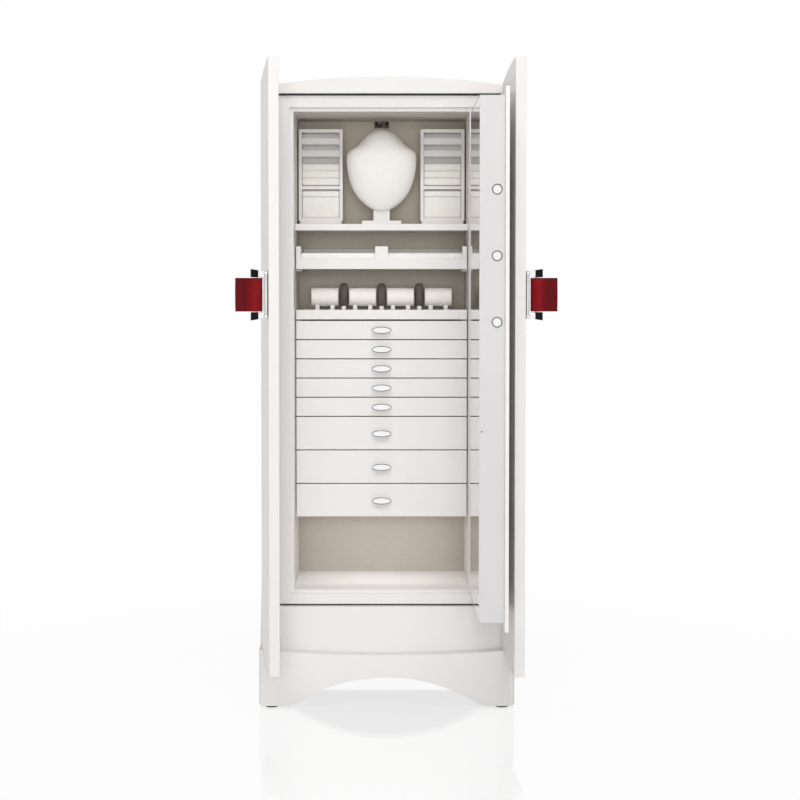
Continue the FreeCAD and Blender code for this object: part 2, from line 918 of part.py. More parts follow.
def make_racks():
    frames = []
    pads = []
    for side in (-1, 1):
        middle = opening_offset + side * (opening_width / 2 - rack_side_gap - rack_width / 2)
        left = middle - rack_width / 2
        right = middle + rack_width / 2
        back = rack_front + rack_depth
        low = shelf_top + rack_foot
        inner_left = left + rack_board
        inner_right = right - rack_board
        board_face = back - rack_back
        frames += [
            box(left + rack_foot_inset, right - rack_foot_inset, rack_front, back, shelf_top, low),
            soft_box(left, inner_left, rack_front, back, low, rack_top),
            soft_box(inner_right, right, rack_front, back, low, rack_top),
            box(inner_left, inner_right, rack_front, back, rack_top - rack_board, rack_top),
            box(inner_left, inner_right, rack_front, back, low, low + rack_board),
            box(inner_left, inner_right, board_face, back, low + rack_board, rack_top - rack_board),
        ]
        for step in (0, 1):
            bar_top = rack_top - rack_bar_drop - step * rack_bar_pitch
            bar_front = rack_front + rack_bar_inset
            frames.append(
                box(
                    inner_left,
                    inner_right,
                    bar_front,
                    bar_front + rack_bar_depth,
                    bar_top - rack_bar_height,
                    bar_top,
                )
            )
        shelf_face = rack_top - rack_shelf_drop
        shelf_low = shelf_face - rack_board
        frames.append(box(inner_left, inner_right, rack_front, board_face, shelf_low, shelf_face))

        pad_front = rack_front + rack_pad_front
        ring_top = rack_top - ring_pad_drop
        ring_pad = soft_box(
            inner_left + pad_gap,
            inner_right - pad_gap,
            pad_front,
            board_face,
            ring_top - ring_pad_height,
            ring_top,
            rack_pad_round,
        )
        for share in (1 / 3, 2 / 3):
            ring_pad = ring_pad.cut(pad_slot(left, right, pad_front, ring_top - ring_pad_height * share))
        lower_top = shelf_face - rack_board - lower_pad_gap
        lower_pad = soft_box(
            inner_left + pad_gap,
            inner_right - pad_gap,
            pad_front,
            board_face,
            low + rack_board,
            lower_top,
            rack_pad_round,
        )
        lower_pad = lower_pad.cut(pad_slot(left, right, pad_front, lower_top - lower_slot_drop))
        pads += [ring_pad.Solids[0], lower_pad.Solids[0]]
    keep("display_racks", *frames)
    keep("display_pads", *pads)


def pad_slot(left, right, front, z):
    return box(left, right, front, front + pad_slot_depth, z - pad_slot_width / 2, z + pad_slot_width / 2)


def make_bust():
    # shoulders and neck: flat-backed sections from the lowest point up
    # each is a share of the height, of the width and of the depth
    sections = [
        (0.0, 0.14, 0.18),
        (0.03, 0.31, 0.31),
        (0.08, 0.48, 0.45),
        (0.16, 0.665, 0.62),
        (0.29, 0.85, 0.83),
        (0.45, 0.955, 0.95),
        (0.62, 1.0, 1.0),
        (0.70, 0.985, 0.995),
        (0.74, 0.925, 0.975),
        (0.77, 0.81, 0.955),
        (0.81, 0.67, 0.93),
        (0.86, 0.575, 0.895),
        (0.93, 0.42, 0.78),
        (0.97, 0.275, 0.58),
        (1.0, 0.09, 0.28),
    ]
    low = shelf_top + bust_lift
    wires = []
    for up, across, deep in sections:
        z = low + up * bust_height
        half = across * bust_width / 2
        front = bust_back - min(deep * bust_depth, 0.95 * half)
        a = Vector(opening_offset - half, bust_back, z)
        b = Vector(opening_offset + half, bust_back, z)
        wires.append(Part.Wire([arc(a, Vector(opening_offset, front, z), b), line(b, a)]))
    keep("bust_form", Part.makeLoft(wires, True, False))

    stand_half = stand_width / 2
    stem_half = stem_width / 2
    stand_top = shelf_top + stand_thickness
    stem_back = bust_back + stem_thickness
    keep(
        "bust_stand",
        soft_box(
            opening_offset - stand_half,
            opening_offset + stand_half,
            stem_back - stand_depth,
            stem_back,
            shelf_top,
            stand_top,
        ),
        box(
            opening_offset - stem_half,
            opening_offset + stem_half,
            bust_back,
            stem_back,
            stand_top,
            stand_top + stem_height,
        ),
    )


def make_hook():
    top = head - hook_drop
    plate_face = lining_face - hook_plate_thickness
    hook = box(
        opening_offset - hook_width / 2,
        opening_offset + hook_width / 2,
        plate_face,
        lining_face,
        top - hook_plate_height,
        top,
    )
    for side in (-1, 1):
        x = opening_offset + side * (hook_width / 2 - 2 * hook_radius)
        z = top - hook_plate_height + 2 * hook_radius
        tip = plate_face - hook_reach
        hook = hook.fuse(rod_y(x, z, tip, plate_face, hook_radius))
        hook = hook.fuse(post(x, tip, z, z + hook_tip, hook_radius))
        hook = hook.fuse(Part.makeSphere(hook_radius, Vector(x, tip, z)))
    keep("wall_hook", hook.Solids[0])


def make_outer_doors():
    inner_edge = door_meeting_gap / 2
    middle = (inner_edge + carcass_half) / 2

    def place(x, z):
        return Vector(x, door_outer, z)

    edges = [
        arc(
            place(inner_edge, door_bottom(inner_edge)),
            place(middle, door_bottom(middle)),
            place(carcass_half, door_bottom(carcass_half)),
        ),
        line(place(carcass_half, door_bottom(carcass_half)), place(carcass_half, door_top(carcass_half))),
        arc(
            place(carcass_half, door_top(carcass_half)),
            place(middle, door_top(middle)),
            place(inner_edge, door_top(inner_edge)),
        ),
        line(place(inner_edge, door_top(inner_edge)), place(inner_edge, door_bottom(inner_edge))),
    ]
    door = prism(edges, Vector(0, door_thickness, 0))
    door = door.makeFillet(edge_radius, door.Edges)

    # a corner notch for the crown's lug, and bores for the two pivot pins
    lug_low = crown_base + lug_lift
    lug_high = lug_low + lug_thickness
    notch_near = pivot_x - lug_radius - notch_clearance
    notch_deep = pivot_y - lug_radius - notch_clearance
    door = door.cut(
        box(
            notch_near,
            carcass_half + notch_clearance,
            notch_deep,
            door_inner + notch_clearance,
            lug_low - notch_clearance,
            lug_high + notch_clearance,
        )
    )
    bush_top = plinth_top(pivot_x) - bush_sink
    top_pin = post(pivot_x, pivot_y, lug_low - pivot_grip, lug_high + notch_clearance * 2, pivot_radius)
    bottom_pin = post(
        pivot_x,
        pivot_y,
        bush_top - bush_length + bush_floor,
        door_bottom(pivot_x) + pivot_grip,
        pivot_radius,
    )
    door = door.cut(top_pin.fuse(bottom_pin)).Solids[0]

    lug = post(pivot_x, pivot_y, lug_low, lug_high, lug_radius)
    lug = lug.fuse(box(pivot_x - lug_half_width, pivot_x + lug_half_width, pivot_y, 0, lug_low, lug_high))
    lug = lug.cut(post(pivot_x, pivot_y, lug_low, lug_high, pivot_radius + pivot_clearance)).Solids[0]
    bush = post(pivot_x, pivot_y, bush_top - bush_length, bush_top, bush_radius)
    bush = bush.cut(post(pivot_x, pivot_y, bush_top - bush_length, bush_top, pivot_radius + pivot_clearance))
    keep("pivot_seats", mirrored(lug), lug, mirrored(bush), bush)

    bracket, rod, pull = make_handle(inner_edge + handle_edge)
    for name, side, angle in (("left", -1, left_open_angle), ("right", 1, right_open_angle)):

        def rest(shape):
            if side < 0:
                shape = mirrored(shape)
            return swung(shape, side * pivot_x, pivot_y, side * angle)

        keep(f"{name}_door", rest(door))
        keep(f"{name}_pivot_pins", rest(top_pin), rest(bottom_pin))
        keep(f"{name}_handle", rest(bracket), rest(rod))
        keep(f"{name}_pull", rest(pull))


def make_handle(x):
    # bracket with two flared arms, the rod between them and the leather pull rolled round the rod
    face = door_outer
    half = plate_height / 2
    axis_y = face - handle_reach
    plate_face = face - plate_thickness
    bracket = soft_box(
        x - plate_width / 2,
        x + plate_width / 2,
        plate_face,
        face,
        handle_height - half,
        handle_height + half,
    )
    rod_end = half + arm_flare / 2
    rod = post(x, axis_y, handle_height - rod_end, handle_height + rod_end, rod_radius)
    for side in (-1, 1):

        def place(out, up):
            return Vector(x - plate_width / 2, face - out, handle_height + side * up)

        arm = polygon_prism(
            [
                place(edge_radius, half - arm_root),
                place(arm_reach, half - arm_root),
                place(arm_reach, half + arm_flare),
                place(plate_thickness, half),
                place(edge_radius, half),
            ],
            Vector(plate_width, 0, 0),
        )
        bracket = bracket.fuse(arm.makeFillet(edge_radius, arm.Edges))
    bracket = bracket.cut(rod).Solids[0]

    low = handle_height - pull_height / 2
    high = handle_height + pull_height / 2
    roll = post(x, axis_y, low, high, pull_roll_radius)
    tangent = pull_roll_radius * cos(radians(pull_turn))
    shoulder = pull_roll_radius * sin(radians(pull_turn))
    tab_half = pull_tab_thickness / 2
    tab = polygon_prism(
        [
            Vector(x - tangent, axis_y - shoulder, low),
            Vector(x - tab_half, axis_y - pull_crease, low),
            Vector(x - tab_half, axis_y - pull_length + tab_half, low),
            Vector(x, axis_y - pull_length, low),
            Vector(x + tab_half, axis_y - pull_length + tab_half, low),
            Vector(x + tab_half, axis_y - pull_crease, low),
            Vector(x + tangent, axis_y - shoulder, low),
        ],
        Vector(0, 0, pull_height),
    )
    pull = roll.fuse(tab).removeSplitter()
    pull = pull.cut(post(x, axis_y, low, high, rod_radius + pull_clearance))
    return bracket, rod, pull.Solids[0]


def make_safe_door():
    lip = rebate - seat_gap
    plate = box(opening_left - lip, opening_right + lip, safe_setback, frame_back, sill - lip, head + lip)
    wall = case_wall
    rim = mirror_rim
    mirror_face = case_back - mirror_thickness
    pocket = box(
        case_left + rim, case_right - rim, mirror_face, case_back, case_bottom + rim, case_top - rim
    )
    case = ring(case_left, case_right, frame_back, case_back, case_bottom, case_top, wall)
    case = [board.cut(pocket) for board in case]
    fit = rim + mirror_gap
    mirror = box(
        case_left + fit, case_right - fit, mirror_face, case_back, case_bottom + fit, case_top - fit
    )

    # bolts, the bar that joins them and the crank that drives it
    bolt_start = case_left - bolt_proud
    bolt_end = bolt_start + bolt_length
    bolts = []
    for z in bolt_heights:
        bolt = rod_x(bolt_axis_y, z, bolt_start, bolt_end, bolt_radius)
        tip = [e for e in bolt.Edges if e.BoundBox.XMax < bolt_start + 1]
        bolts.append(bolt.makeChamfer(edge_radius, tip))
        guide = rod_x(bolt_axis_y, z, case_left, case_left + wall, bolt_radius + bolt_clearance)
        case[0] = case[0].cut(guide)
    knob_x = case_left + knob_inset
    bar_half = bar_thickness / 2
    bar = box(
        bolt_end,
        bolt_end + bar_width,
        bolt_axis_y - bar_half,
        bolt_axis_y + bar_half,
        bolt_heights[0] - bar_overrun,
        bolt_heights[-1] + bar_overrun,
    )
    crank_radius = bolt_throw
    crank_angle = radians(crank_swing)
    pin_x = knob_x + crank_radius * sin(crank_angle)
    pin_z = bolt_middle + crank_radius * cos(crank_angle)
    tab_front = bolt_axis_y - bar_half
    tab = box(
        bolt_end + bar_width,
        pin_x + crank_pin_radius + crank_margin,
        tab_front,
        bolt_axis_y,
        pin_z - crank_tab_height / 2,
        pin_z + crank_tab_height / 2,
    )
    slot_half = crank_pin_radius + crank_slot_clearance
    slot = box(
        pin_x - slot_half,
        pin_x + slot_half,
        tab_front,
        bolt_axis_y,
        pin_z - crank_slot_height / 2,
        pin_z + crank_slot_height / 2,
    )
    bar = bar.fuse(tab).removeSplitter().cut(slot).Solids[0]

    recess_floor = safe_setback + knob_depth + knob_gap
    crank_back = tab_front - crank_gap
    crank_front = crank_back - crank_thickness
    knob = rod_y(knob_x, bolt_middle, safe_setback, safe_setback + knob_depth, knob_radius)
    grip_half = knob_radius - 2 * edge_radius
    grip = soft_box(
        knob_x - grip_half,
        knob_x + grip_half,
        safe_setback - grip_height,
        safe_setback + grip_height / 2,
        bolt_middle - grip_width / 2,
        bolt_middle + grip_width / 2,
    )
    knob = knob.fuse(grip)
    knob = knob.fuse(rod_y(knob_x, bolt_middle, safe_setback, crank_back, spindle_radius))
    knob = knob.fuse(rod_y(knob_x, bolt_middle, crank_front, crank_back, crank_radius + crank_margin))
    knob = knob.fuse(rod_y(pin_x, pin_z, crank_front, bolt_axis_y, crank_pin_radius)).removeSplitter()
    plate = plate.cut(rod_y(knob_x, bolt_middle, safe_setback, recess_floor, knob_radius + knob_gap))
    plate = plate.cut(rod_y(knob_x, bolt_middle, safe_setback, frame_back, spindle_radius + knob_gap))

    lock_z = bolt_middle - lock_drop
    lock = rod_y(knob_x, lock_z, safe_setback - lock_flange_thickness, safe_setback, lock_flange)
    lock = lock.fuse(rod_y(knob_x, lock_z, safe_setback, safe_setback + lock_length, lock_radius)).Solids[0]
    plate = plate.cut(rod_y(knob_x, lock_z, safe_setback, frame_back, lock_radius))

    # two strap hinges that turn on pins in front of the frame
    straps = []
    knuckles = []
    strap_back = safe_setback - strap_gap
    strap_front = strap_back - strap_thickness
    plate_edge = opening_right + lip
    for z in (case_bottom + hinge_inset, case_top - hinge_inset):
        low = z - knuckle_height / 2
        high = z + knuckle_height / 2
        strap = box(plate_edge - strap_length, safe_pivot_x, strap_front, strap_back, low, high)
        leaf = box(plate_edge - strap_length, plate_edge - seat_gap, strap_front, safe_setback, low, high)
        strap = strap.fuse(leaf)
        strap = strap.fuse(post(safe_pivot_x, safe_pivot_y, low, high, knuckle_radius)).removeSplitter()
        bore = hinge_pin_radius + hinge_pin_clearance
        straps.append(strap.cut(post(safe_pivot_x, safe_pivot_y, low, high, bore)).Solids[0])
        below = low - knuckle_gap
        above = high + knuckle_gap
        pin_low = below - frame_knuckle_height
        pin_high = above + frame_knuckle_height
        pin = post(safe_pivot_x, safe_pivot_y, pin_low, pin_high, hinge_pin_radius)
        for z0, z1 in ((pin_low, below), (above, pin_high)):
            knuckle = post(safe_pivot_x, safe_pivot_y, z0, z1, knuckle_radius)
            foot = box(
                safe_pivot_x - knuckle_radius,
                safe_pivot_x + knuckle_radius,
                safe_pivot_y,
                safe_setback,
                z0,
                z1,
            )
            knuckles.append(knuckle.fuse(foot).removeSplitter().cut(pin).Solids[0])
        knuckles.append(pin)
    keep("hinge_knuckles", *knuckles)

    def rest(shape):
        return swung(shape, safe_pivot_x, safe_pivot_y, safe_open_angle)

    keep("safe_door_plate", rest(plate.Solids[0]))
    keep("safe_door_case", *[rest(board) for board in case])
    keep("safe_door_mirror", rest(mirror))
    keep("safe_door_hardware", *[rest(strap) for strap in straps], rest(lock))
    keep("locking_bolts", *[rest(bolt) for bolt in bolts])
    keep("bolt_bar", rest(bar))
    keep("bolt_knob", rest(knob.Solids[0]))


make_plinth()
make_carcass()
make_safe_body()
make_shelves()
drawer_runners = make_drawers()
tray_runners = make_upper_tray() + make_cushion_tray()
keep("runners", *drawer_runners, *tray_runners)
make_racks()
make_bust()
make_hook()
make_outer_doors()
make_safe_door()

# the origin is on the floor under the middle of the footprint
footprint_middle = (carcass_depth - plinth_lead) / 2
os.makedirs("parts", exist_ok=True)
for name, solids in nodes.items():
    for solid in solids:
        solid.translate(Vector(0, -footprint_middle, 0))
        if not solid.isValid():
            print("not valid:", name)
    shape = solids[0] if len(solids) == 1 else Part.makeCompound(solids)
    shape.exportStep(f"parts/{name}.step")
print(len(nodes), "nodes,", sum(len(solids) for solids in nodes.values()), "solids")
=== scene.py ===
import json
import math

import bmesh
import bpy
from mathutils import Matrix, Vector, noise


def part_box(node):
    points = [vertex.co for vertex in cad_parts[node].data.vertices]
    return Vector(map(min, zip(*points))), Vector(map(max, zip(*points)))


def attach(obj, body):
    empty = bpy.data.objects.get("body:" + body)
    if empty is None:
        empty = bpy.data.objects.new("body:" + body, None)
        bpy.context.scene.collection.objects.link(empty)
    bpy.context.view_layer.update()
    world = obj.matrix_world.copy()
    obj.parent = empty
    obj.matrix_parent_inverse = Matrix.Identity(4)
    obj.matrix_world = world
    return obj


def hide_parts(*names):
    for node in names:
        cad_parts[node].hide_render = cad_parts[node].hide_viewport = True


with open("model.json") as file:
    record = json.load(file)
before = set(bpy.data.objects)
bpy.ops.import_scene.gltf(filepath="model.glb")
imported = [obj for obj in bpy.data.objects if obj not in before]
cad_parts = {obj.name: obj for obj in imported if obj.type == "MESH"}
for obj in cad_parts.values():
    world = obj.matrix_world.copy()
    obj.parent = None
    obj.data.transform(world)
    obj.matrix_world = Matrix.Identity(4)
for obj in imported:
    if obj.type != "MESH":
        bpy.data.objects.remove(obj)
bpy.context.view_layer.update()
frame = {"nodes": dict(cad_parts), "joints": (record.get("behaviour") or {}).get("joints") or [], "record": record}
nodes = frame["nodes"]
joints = {joint["name"]: joint for joint in frame["joints"]}
mm = 0.001
middleY = 187.0  # the sizes below count depth from the case's front edges, this far before the middle
insideMiddle = -15.0  # middle of the safe's opening, across
drawerCount = 8
print("stage: frame loaded,", len(nodes), "nodes")


def spot(x, y, z):
    # a place in millimetres, depth from the case's front edges
    return Vector((x, y - middleY, z)) * mm


# materials


class Finish:
    def __init__(self, name):
        self.material = bpy.data.materials.new(name)
        self.material.use_nodes = True
        self.tree = self.material.node_tree
        self.shader = self.tree.nodes["Principled BSDF"]
        self.place = self.tree.nodes.new("ShaderNodeTexCoord").outputs["Object"]

    def add(self, kind, **inputs):
        node = self.tree.nodes.new(kind)
        for key, value in inputs.items():
            self.feed(node.inputs[key.replace("_", " ")], value)
        return node

    def feed(self, socket, value):
        if isinstance(value, bpy.types.NodeSocket):
            self.tree.links.new(value, socket)
        else:
            socket.default_value = value

    def set(self, **inputs):
        for key, value in inputs.items():
            self.feed(self.shader.inputs[key.replace("_", " ")], value)

    def grain(self, scale, detail=3.0, rough=0.5, stretch=(1, 1, 1)):
        mapping = self.add("ShaderNodeMapping", Vector=self.place, Scale=stretch)
        texture = self.add("ShaderNodeTexNoise", Vector=mapping.outputs[0], Scale=scale)
        texture.inputs["Detail"].default_value = detail
        texture.inputs["Roughness"].default_value = rough
        return texture.outputs["Fac"]

    def cells(self, scale):
        return self.add("ShaderNodeTexVoronoi", Vector=self.place, Scale=scale).outputs["Distance"]

    def ramp(self, factor, low, high, start=0.3, end=0.7):
        node = self.add("ShaderNodeMapRange", Value=factor, To_Min=low, To_Max=high)
        node.inputs["From Min"].default_value = start
        node.inputs["From Max"].default_value = end
        return node.outputs["Result"]

    def mix(self, factor, a, b):
        node = self.tree.nodes.new("ShaderNodeMix")
        node.data_type = "RGBA"
        self.feed(node.inputs["Factor"], factor)
        colours = [s for s in node.inputs if s.type == "RGBA"]
        for socket, value in zip(colours, (a, b)):
            self.feed(socket, value if isinstance(value, bpy.types.NodeSocket) else (*value, 1.0))
        return [s for s in node.outputs if s.type == "RGBA"][0]

    def math(self, operation, a, b):
        node = self.tree.nodes.new("ShaderNodeMath")
        node.operation = operation
        self.feed(node.inputs[0], a)
        self.feed(node.inputs[1], b)
        return node.outputs[0]

    def blend(self, factor, a, b):
        node = self.tree.nodes.new("ShaderNodeMixShader")
        for socket, value in zip(node.inputs, (factor, a, b)):
            self.tree.links.new(value, socket)
        return node.outputs[0]

    def mark(self, name):
        # a value kept on the mesh's points
        node = self.tree.nodes.new("ShaderNodeAttribute")
        node.attribute_name = name
        return node.outputs["Fac"]

    def height(self):
        return self.add("ShaderNodeSeparateXYZ", Vector=self.place).outputs["Z"]

    def bump(self, value, distance, strength, under=None):
        node = self.add("ShaderNodeBump", Height=value, Distance=distance, Strength=strength)
        if under is not None:
            self.feed(node.inputs["Normal"], under)
        return node.outputs["Normal"]

    def softEdges(self, radius):
        node = self.tree.nodes.new("ShaderNodeBevel")
        node.samples = 6
        node.inputs["Radius"].default_value = radius
        return node.outputs["Normal"]


def srgb(r, g, b):
    return tuple(((c / 255 + 0.055) / 1.055) ** 2.4 if c > 10 else c / 255 / 12.92 for c in (r, g, b))


lacquerCoat = {
    "cloud": 2.2, "fine": 9.0, "dull": (0.30, 0.33), "peel": 420.0, "peelDepth": 0.0001, "peelShow": 0.03,
    "edge": 0.0012, "ior": 1.45,
}
enamelCoat = {
    "cloud": 3.1, "fine": 14.0, "dull": (0.28, 0.30), "peel": 650.0, "peelDepth": 0.0001, "peelShow": 0.03,
    "edge": 0.001, "ior": 1.5,
}


def makePaint(name, light, shade, coat):
    # a sprayed coat with faint clouds, a fine peel and softened edges
    finish = Finish(name)
    cloud = finish.ramp(finish.grain(coat["cloud"], detail=2.0), 0, 1)
    finish.set(Base_Color=finish.mix(cloud, light, shade))
    finish.set(Roughness=finish.ramp(finish.grain(coat["fine"], detail=4.0), *coat["dull"]))
    peel = finish.grain(coat["peel"], detail=2.0)
    edges = finish.softEdges(coat["edge"])
    finish.set(Normal=finish.bump(peel, coat["peelDepth"], coat["peelShow"], edges), IOR=coat["ior"])
    return finish.material


def brushNap(finish, look):
    # a brushed nap over fine fibres, handed back for the colour
    nap = finish.grain(look["nap"], detail=4.0, rough=0.6)
    fibres = finish.grain(look["fibre"], detail=3.0, rough=0.7)
    finish.set(Roughness=finish.ramp(nap, *look["dull"]))
    finish.set(Normal=finish.bump(fibres, look["fibreDepth"], look["fibreShow"]))
    finish.set(Sheen_Weight=look["sheen"], Sheen_Roughness=look["sheenDull"])
    return nap


def makeLining():
    look = {
        "upper": srgb(208, 200, 186), "lower": srgb(188, 181, 172), "change": 0.522, "blend": 0.001,
        "nap": 55.0, "napShade": (0.2, 0.19, 0.17), "napShare": 0.09, "dull": (0.78, 0.95),
        "fibre": 1500.0, "fibreDepth": 0.0003, "fibreShow": 0.3, "sheen": 0.25, "sheenDull": 0.5,
    }
    finish = Finish("taupe suede lining")
    # lit and shaded copies of one lining: below the change height its colour is painted darker as shade
    start, end = look["change"] - look["blend"], look["change"] + look["blend"]
    colour = finish.mix(finish.ramp(finish.height(), 0, 1, start, end), look["lower"], look["upper"])
    nap = brushNap(finish, look)
    finish.set(Base_Color=finish.mix(finish.ramp(nap, 0, look["napShare"]), colour, look["napShade"]))
    return finish.material


def makeSuede(name, light, shade):
    look = {
        "nap": 70.0, "dull": (0.8, 0.95), "fibre": 2200.0, "fibreDepth": 0.0003, "fibreShow": 0.3,
        "sheen": 0.3, "sheenDull": 0.4,
    }
    finish = Finish(name)
    nap = brushNap(finish, look)
    finish.set(Base_Color=finish.mix(finish.ramp(nap, 0, 1), light, shade))
    return finish.material


def makeChrome(name, face, rimDarkReflection):
    # painted reflection: the colour is bright where it faces the eye and painted darker round its edges, as a dark
    # reflection
    look = {
        "turn": 0.35, "smear": 60.0, "dull": (0.10, 0.14), "fine": 900.0, "fineDepth": 0.00005,
        "fineShow": 0.08, "edge": 0.0006,
    }
    finish = Finish(name)
    turn = finish.add("ShaderNodeLayerWeight", Blend=look["turn"])
    finish.set(Base_Color=finish.mix(turn.outputs["Facing"], face, rimDarkReflection), Metallic=1.0)
    finish.set(Roughness=finish.ramp(finish.grain(look["smear"], detail=4.0), *look["dull"]))
    fine = finish.grain(look["fine"], detail=2.0)
    edges = finish.softEdges(look["edge"])
    finish.set(Normal=finish.bump(fine, look["fineDepth"], look["fineShow"], edges))
    return finish.material


def makeBronze():
    # dark metal with pale spots scattered at random
    look = {
        "dark": (0.045, 0.036, 0.028), "paleSpot": (0.50, 0.45, 0.36), "spots": 210.0, "wear": (0.2, 0.55),
        "dull": (0.42, 0.22), "relief": 0.0004, "reliefShow": 0.5, "edge": 0.0006,
    }
    finish = Finish("spotted dark bronze")
    wear = finish.ramp(finish.cells(look["spots"]), 1, 0, *look["wear"])
    finish.set(Base_Color=finish.mix(wear, look["dark"], look["paleSpot"]), Metallic=1.0)
    finish.set(Roughness=finish.ramp(wear, *look["dull"], 0.0, 1.0))
    edges = finish.softEdges(look["edge"])
    finish.set(Normal=finish.bump(wear, look["relief"], look["reliefShow"], edges))
    return finish.material


def makeShadeAndPinGrey():
    # satin grey, painted as the dark reflection round the knobs' rims and as the shade in the gaps round the
    # bolts; the case's pin is this grey too
    look = {
        "dark": (0.15, 0.147, 0.145), "light": (0.19, 0.187, 0.185), "cloud": 90.0, "fine": 200.0,
        "dull": (0.45, 0.6), "shine": 0.3,
    }
    finish = Finish("satin grey for painted shade lines and the pin")
    finish.set(Base_Color=finish.mix(finish.grain(look["cloud"]), look["dark"], look["light"]))
    finish.set(Roughness=finish.ramp(finish.grain(look["fine"]), *look["dull"]))
    finish.set(Specular_IOR_Level=look["shine"])
    return finish.material


def makeSteel():
    look = {
        "dark": (0.50, 0.50, 0.51), "light": (0.62, 0.62, 0.63), "brush": 120.0,
        "stretch": (1.0, 1.0, 14.0), "dull": (0.26, 0.4), "brushDepth": 0.0001, "brushShow": 0.1,
        "edge": 0.0006,
    }
    finish = Finish("satin steel")
    brushed = finish.grain(look["brush"], stretch=look["stretch"])
    finish.set(Base_Color=finish.mix(brushed, look["dark"], look["light"]), Metallic=1.0)
    finish.set(Roughness=finish.ramp(brushed, *look["dull"]))
    edges = finish.softEdges(look["edge"])
    finish.set(Normal=finish.bump(brushed, look["brushDepth"], look["brushShow"], edges))
    return finish.material


def makeMirror():
    look = {"silver": (0.90, 0.91, 0.90, 1.0), "haze": 4.0, "dull": (0.005, 0.02)}
    finish = Finish("silvered mirror")
    finish.set(Base_Color=look["silver"], Metallic=1.0)
    finish.set(Roughness=finish.ramp(finish.grain(look["haze"], detail=2.0), *look["dull"]))
    return finish.material


paleSkin = {
    "blotch": 30.0, "grain": 900.0, "hollow": 0.6, "dull": (0.38, 0.56), "pebbleDepth": 0.0003,
    "pebbleShow": 0.25, "crease": 120.0, "creaseDepth": 0.0004, "creaseShow": 0.2,
}
threadSkin = {**paleSkin, "grain": 1500.0}
redSkin = {
    "blotch": 38.0, "grain": 700.0, "hollow": 0.6, "dull": (0.42, 0.56), "pebbleDepth": 0.0004,
    "pebbleShow": 0.3, "crease": 160.0, "creaseDepth": 0.0004, "creaseShow": 0.2,
}


def pebbleSkin(finish, skin):
    # pebbled grain over wider creases, duller in its hollows
    pebble = finish.cells(skin["grain"])
    finish.set(Roughness=finish.ramp(pebble, *skin["dull"], 0.0, skin["hollow"]))
    creases = finish.grain(skin["crease"], detail=5.0, rough=0.65)
    under = finish.bump(creases, skin["creaseDepth"], skin["creaseShow"])
    finish.set(Normal=finish.bump(pebble, skin["pebbleDepth"], skin["pebbleShow"], under))


def makeLeather(name, light, shade, skin):
    finish = Finish(name)
    blotch = finish.ramp(finish.grain(skin["blotch"], detail=4.0, rough=0.6), 0, 1)
    finish.set(Base_Color=finish.mix(blotch, light, shade))
    pebbleSkin(finish, skin)
    return finish.material


def makeRedLeather():
    look = {
        "face": srgb(130, 11, 21), "deep": srgb(92, 5, 12), "edge": srgb(38, 4, 8), "blotchShare": 0.5,
        "shine": 0.22,
    }
    finish = Finish("dark red leather")
    clouds = finish.grain(redSkin["blotch"], detail=4.0, rough=0.6)
    blotch = finish.ramp(clouds, 0, look["blotchShare"])
    # the tab is painted darker as shade, over random blotches
    deep = finish.math("MAXIMUM", blotch, finish.mark("tab"))
    face = finish.mix(deep, look["face"], look["deep"])
    # the ends and the tab's tip carry real dark edge paint, and the crease a painted shade
    finish.set(Base_Color=finish.mix(finish.mark("painted"), face, look["edge"]))
    finish.set(Specular_IOR_Level=look["shine"])
    pebbleSkin(finish, redSkin)
    return finish.material


def makeRubber():
    look = {
        "dark": (0.012, 0.012, 0.012), "light": (0.03, 0.03, 0.03), "cloud": 80.0, "fine": 200.0,
        "dull": (0.5, 0.75), "grit": 700.0, "gritDepth": 0.0002, "gritShow": 0.3,
    }
    finish = Finish("black glide rubber")
    finish.set(Base_Color=finish.mix(finish.grain(look["cloud"]), look["dark"], look["light"]))
    finish.set(Roughness=finish.ramp(finish.grain(look["fine"]), *look["dull"]))
    finish.set(Normal=finish.bump(finish.grain(look["grit"]), look["gritDepth"], look["gritShow"]))
    return finish.material


lacquer = makePaint("white lacquer", srgb(236, 233, 231), srgb(234, 231, 229), lacquerCoat)
enamel = makePaint("white enamel", srgb(236, 233, 232), srgb(234, 231, 230), enamelCoat)
# the safe door's case: the same white enamel, painted darker as shade
shadedEnamel = makePaint("white enamel painted in shade", srgb(213, 211, 211), srgb(211, 209, 209), enamelCoat)
# the compartments' floor: the same white enamel, painted lighter as light
litEnamel = makePaint("white enamel painted lighter as light", srgb(248, 246, 245), srgb(246, 244, 243), enamelCoat)
lining = makeLining()
chrome = makeChrome("polished chrome", (0.92, 0.92, 0.925), (0.30, 0.30, 0.31))
bronze = makeBronze()
shadeAndPinGrey = makeShadeAndPinGrey()
# chrome painted near black on the handles' arm tips, as a dark reflection
darkReflectionChrome = makeChrome("chrome painted dark as a reflection", (0.015, 0.014, 0.014), (0.03, 0.03, 0.03))
steel = makeSteel()
mirror = makeMirror()
redLeather = makeRedLeather()
creamLeather = makeLeather("cream leather", srgb(246, 242, 236), srgb(241, 236, 228), paleSkin)
taupeLeather = makeLeather("dark taupe leather", srgb(96, 89, 80), srgb(78, 72, 64), paleSkin)
creamSuede = makeSuede("cream suede", srgb(245, 243, 239), srgb(240, 237, 232))
formCloth = makeSuede("white form cloth", srgb(247, 245, 242), srgb(244, 241, 237))
rubber = makeRubber()

slotFinish = {
    "white_lacquer": lacquer,
    "white_steel": enamel,
    "lining_board": lining,
    "chrome": chrome,
    "steel": steel,
    "mirror": mirror,
    "red_leather": redLeather,
    "cream_leather": creamLeather,
    "taupe_leather": taupeLeather,
    "cream_fabric": creamSuede,
    "glide": rubber,
}
